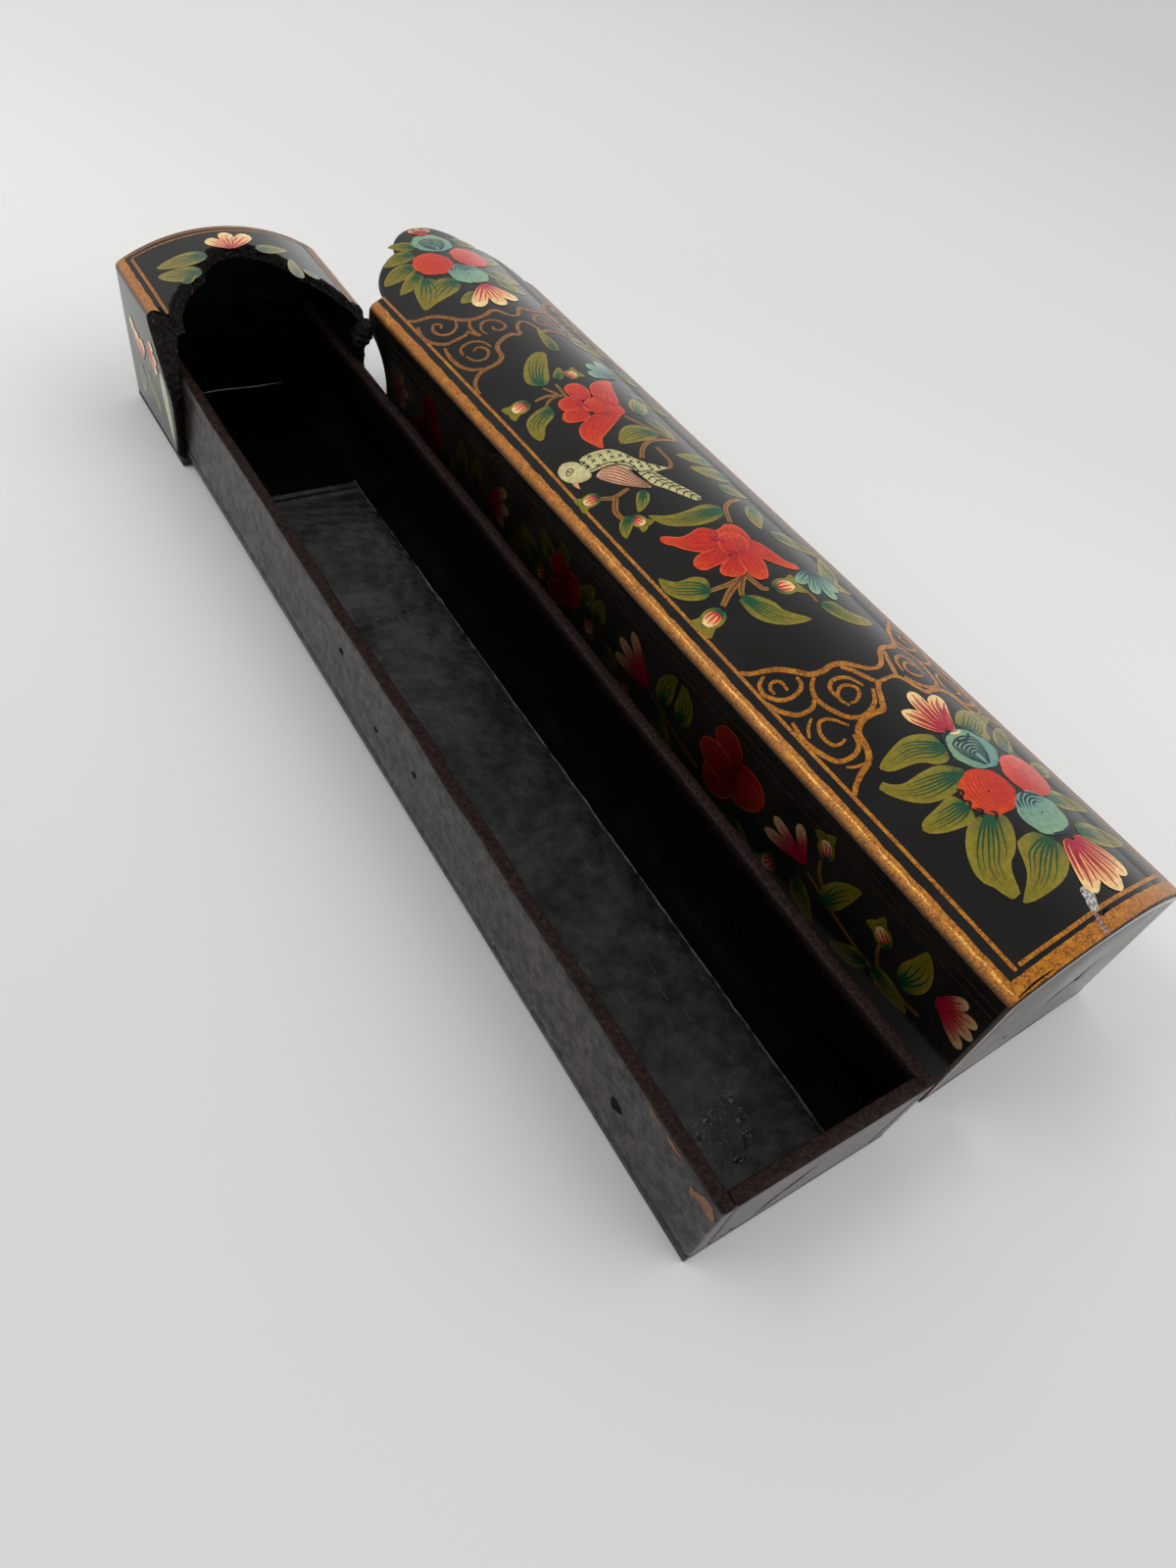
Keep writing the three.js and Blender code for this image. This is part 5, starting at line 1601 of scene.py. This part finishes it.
# Cracks in the near ends: piece, body, how it is laid, slot, and each stroke's points, widths and lift.
CRACKS = [
    ("sleeve_end_crack", "sleeve", on_end, "painted_lacquer", [
        ([(25, 15.4), (27.4, 18.6), (30, 20), (33.6, 25.8)], (0.3, 1.1, 0.5, 1.2, 0.2), 0.05),
        ([(29.6, 20), (32, 19), (34, 19.6)], (0.5, 0.7, 0.15), 0.054),
        ([(17.3, 9), (18.6, 9.2)], (0.5, 0.7, 0.3), 0.05),
    ]),
    ("tray_end_crack", "drawer", on_tray_end, "worn_lacquer", [
        ([(16, 6), (18.6, 10.4), (21, 12.4), (25, 16.4)], (0.2, 1.0, 0.6, 1.1, 0.2), 0.05),
        ([(10.5, 6), (11.7, 6.2)], (0.4, 0.7, 0.3), 0.05),
    ]),
]

# Chips on the tray's left side: y, z, half length, half height and colour.
SIDE_CHIPS = [
    (24, 12.6, 1.5, 1.3, INK), (2.8, 20.6, 2.4, 1.5, BARE_TAN), (5.6, 19.4, 0.8, 0.9, BARE_TAN),
    (12, 22.3, 2.2, 0.5, BARE_TAN), (17.4, 22.5, 1.7, 0.42, BARE_TAN), (96, 15, 0.8, 0.6, INK),
    (112, 11, 0.7, 0.6, INK), (129, 17, 0.9, 0.6, INK),
]


def build_marks():
    """Chips, cracks and bare spots that show the dark or the pale board."""
    p = Painting("sleeve_top_chips", "sleeve", MARK_MATERIAL)
    for outline, base, colour, start, gain, seed, lift, across, along in (
        ([(-3.9, 4.3), (-2.4, 4.4), (-1.7, 5.4), (-0.5, 7.2), (-0.8, 8.6), (-2.4, 8.6), (-3.2, 6.8), (-3.8, 5.6)],
         (-3.2, 4.4), BARE_MID, 0.62, 1.4, 61, 0.06, 10, 22),
        ([(-5.4, 0.8), (-4.4, 0.7), (-3.9, 2.2), (-3.4, 3.8), (-4.2, 4.0), (-4.8, 2.6)],
         (-4.9, 0.8), BARE_RED, 0.0, 1.6, 62, 0.064, 8, 14),
    ):
        def flakes(u, v):
            return mixed(colour, BARE_PALE, start + gain * ripple(u * 9, v * 3, 1.2, seed))

        p.shape(outline, base, flakes, lift, None, across, along)
    p.stroke([(-24.5, 0.6), (-21, 0.9), (-17, 0.8)], (0.2, 0.4, 0.15), INK, 0.05)
    p.stroke([(-3, 3), (-1.8, 3.6), (-0.6, 3.4)], (0.2, 0.5, 0.1), INK, 0.066)
    p.build()
    for name, body, lay, slot, strokes in CRACKS:
        p = Painting(name, body, MARK_MATERIAL, lay, slot)
        for points, width, lift in strokes:
            p.stroke(points, width, INK, lift)
        p.build()
    p = Painting("tray_wall_chips", "drawer", MARK_MATERIAL, on_tray_side, "worn_lacquer", True)
    turns = np.linspace(0, 2 * np.pi, 11)[:-1]
    for y, z, long, tall, colour in SIDE_CHIPS:
        wobble = 1 + 0.22 * np.sin(3 * turns + y) + 0.12 * np.sin(5 * turns)
        outline = np.stack([y + long * wobble * np.cos(turns), z + tall * wobble * np.sin(turns)], -1)
        p.shape(outline, outline[0], colour, 0.06, None, 4, 8)
    p.build()
    p = Painting("tray_floor_line", "drawer", MARK_MATERIAL, on_tray_floor, "black_lacquer")
    p.stroke([(12.5, 239.6), (20, 240.2), (28, 239.9), (36.6, 240.3)], (0.3, 0.6, 0.5, 0.6, 0.2), FLOOR_LINE, 0.08)
    p.build()


# Stage, light and camera.

TABLE_HALF = 2.6
TABLE_DROP = 0.0002


def build_stage():
    """A pale table, painted a little darker towards the near left and the far right as painted shade of the uneven
    light.
    """
    mesh = bpy.data.meshes.new("floor")
    corners = [(a * TABLE_HALF, b * TABLE_HALF, 0) for a, b in ((-1, -1), (1, -1), (1, 1), (-1, 1))]
    mesh.from_pydata(corners, [], [(0, 1, 2, 3)])
    floor = put("floor", mesh)
    floor.location.z = -TABLE_DROP
    n = new_material("floor")
    axes = n.add("ShaderNodeSeparateXYZ", {0: n.place()}).outputs
    across = n.math("ADD", axes["X"], n.math("MULTIPLY", axes["Y"], 0.7))
    # Painted shade: the colour darkens towards the near left and the far right.
    colour = n.mix(n.span(across, -190.0, 60.0), srgb(209, 209, 208), srgb(226, 226, 225))
    colour = n.mix(n.span(across, 90.0, 290.0), colour, srgb(217, 217, 216))
    colour = n.mix(n.span(across, 290.0, 1000.0), colour, srgb(203, 203, 202))
    mesh.materials.append(n.finish(colour, 0.6))


# The dome's brightness from straight down to straight up, and the window's direction and brightness.
SKY_STOPS = [(0.0, 0.96), (0.5, 1.17), (0.56, 1.3), (0.66, 1.09), (0.81, 0.79), (0.93, 0.56), (1.0, 0.44)]
WINDOW_TOWARD = (0.542, -0.455, 0.707)
WINDOW_LIGHT = 1.2


def build_world():
    """A soft dome, darkest overhead, with a wide soft window to the near right."""
    world = bpy.data.worlds.new("studio")
    bpy.context.scene.world = world
    n = Nodes(world)
    direction = n.add("ShaderNodeTexCoord").outputs["Generated"]
    height = n.add("ShaderNodeSeparateXYZ", {0: direction}).outputs["Z"]
    toward = n.add("ShaderNodeVectorMath", {0: direction, 1: WINDOW_TOWARD}, operation="DOT_PRODUCT")
    window = n.span(toward.outputs["Value"], 0.8, 0.97, 0.0, WINDOW_LIGHT)
    half_up = n.add("ShaderNodeMapRange", {"Value": height, "From Min": -1.0}).outputs["Result"]
    ramp = n.add("ShaderNodeValToRGB", {0: half_up})
    top = max(value for _, value in SKY_STOPS)
    while len(ramp.color_ramp.elements) < len(SKY_STOPS):
        ramp.color_ramp.elements.new(0.5)
    for element, (at, value) in zip(ramp.color_ramp.elements, SKY_STOPS):
        element.position = at
        element.color = (value / top, value / top, value / top, 1)
    light = n.add("ShaderNodeMath", {0: ramp.outputs["Color"], 1: top, 2: window}, operation="MULTIPLY_ADD")
    n.join(light.outputs[0], n.tree.nodes["Background"].inputs["Color"])


GLINT_FROM = (-0.79, 0.5, 1.185)
GLINT_TO = (0.0, -0.08, 0.036)
GLINT_SIZE = (0.7, 0.05)
GLINT_ENERGY = 3.8


def build_glint():
    """A narrow lamp high up at the far left, for the highlight along the eaves."""
    lamp = bpy.data.lights.new("glint", "AREA")
    lamp.shape = "RECTANGLE"
    lamp.size, lamp.size_y = GLINT_SIZE
    lamp.energy = GLINT_ENERGY
    obj = put("glint", lamp)
    obj.location = GLINT_FROM
    obj.rotation_euler = (Vector(GLINT_TO) - Vector(GLINT_FROM)).to_track_quat("-Z", "Y").to_euler()


CAMERA_PLACE = (-0.12545, -0.14598, 0.17416)
CAMERA_TURN = (0.7146, -0.20545, -0.56588)
CAMERA_LENS = 25.576
SENSOR = 36.0
CLIP_START = 0.01


def build_camera():
    data = bpy.data.cameras.new("camera")
    data.sensor_width = SENSOR
    data.lens = CAMERA_LENS
    data.clip_start = CLIP_START
    camera = put("camera", data)
    camera.location = CAMERA_PLACE
    camera.rotation_euler = CAMERA_TURN
    bpy.context.scene.camera = camera


build_camera()
build_stage()
build_world()
build_glint()
build_shells()
build_broken_corner()
build_ends_and_bases()
build_tray()
build_lining()
build_gold()
build_sleeve_painting()
build_hood_painting()
build_marks()

bpy.context.scene.view_settings.view_transform = "Standard"
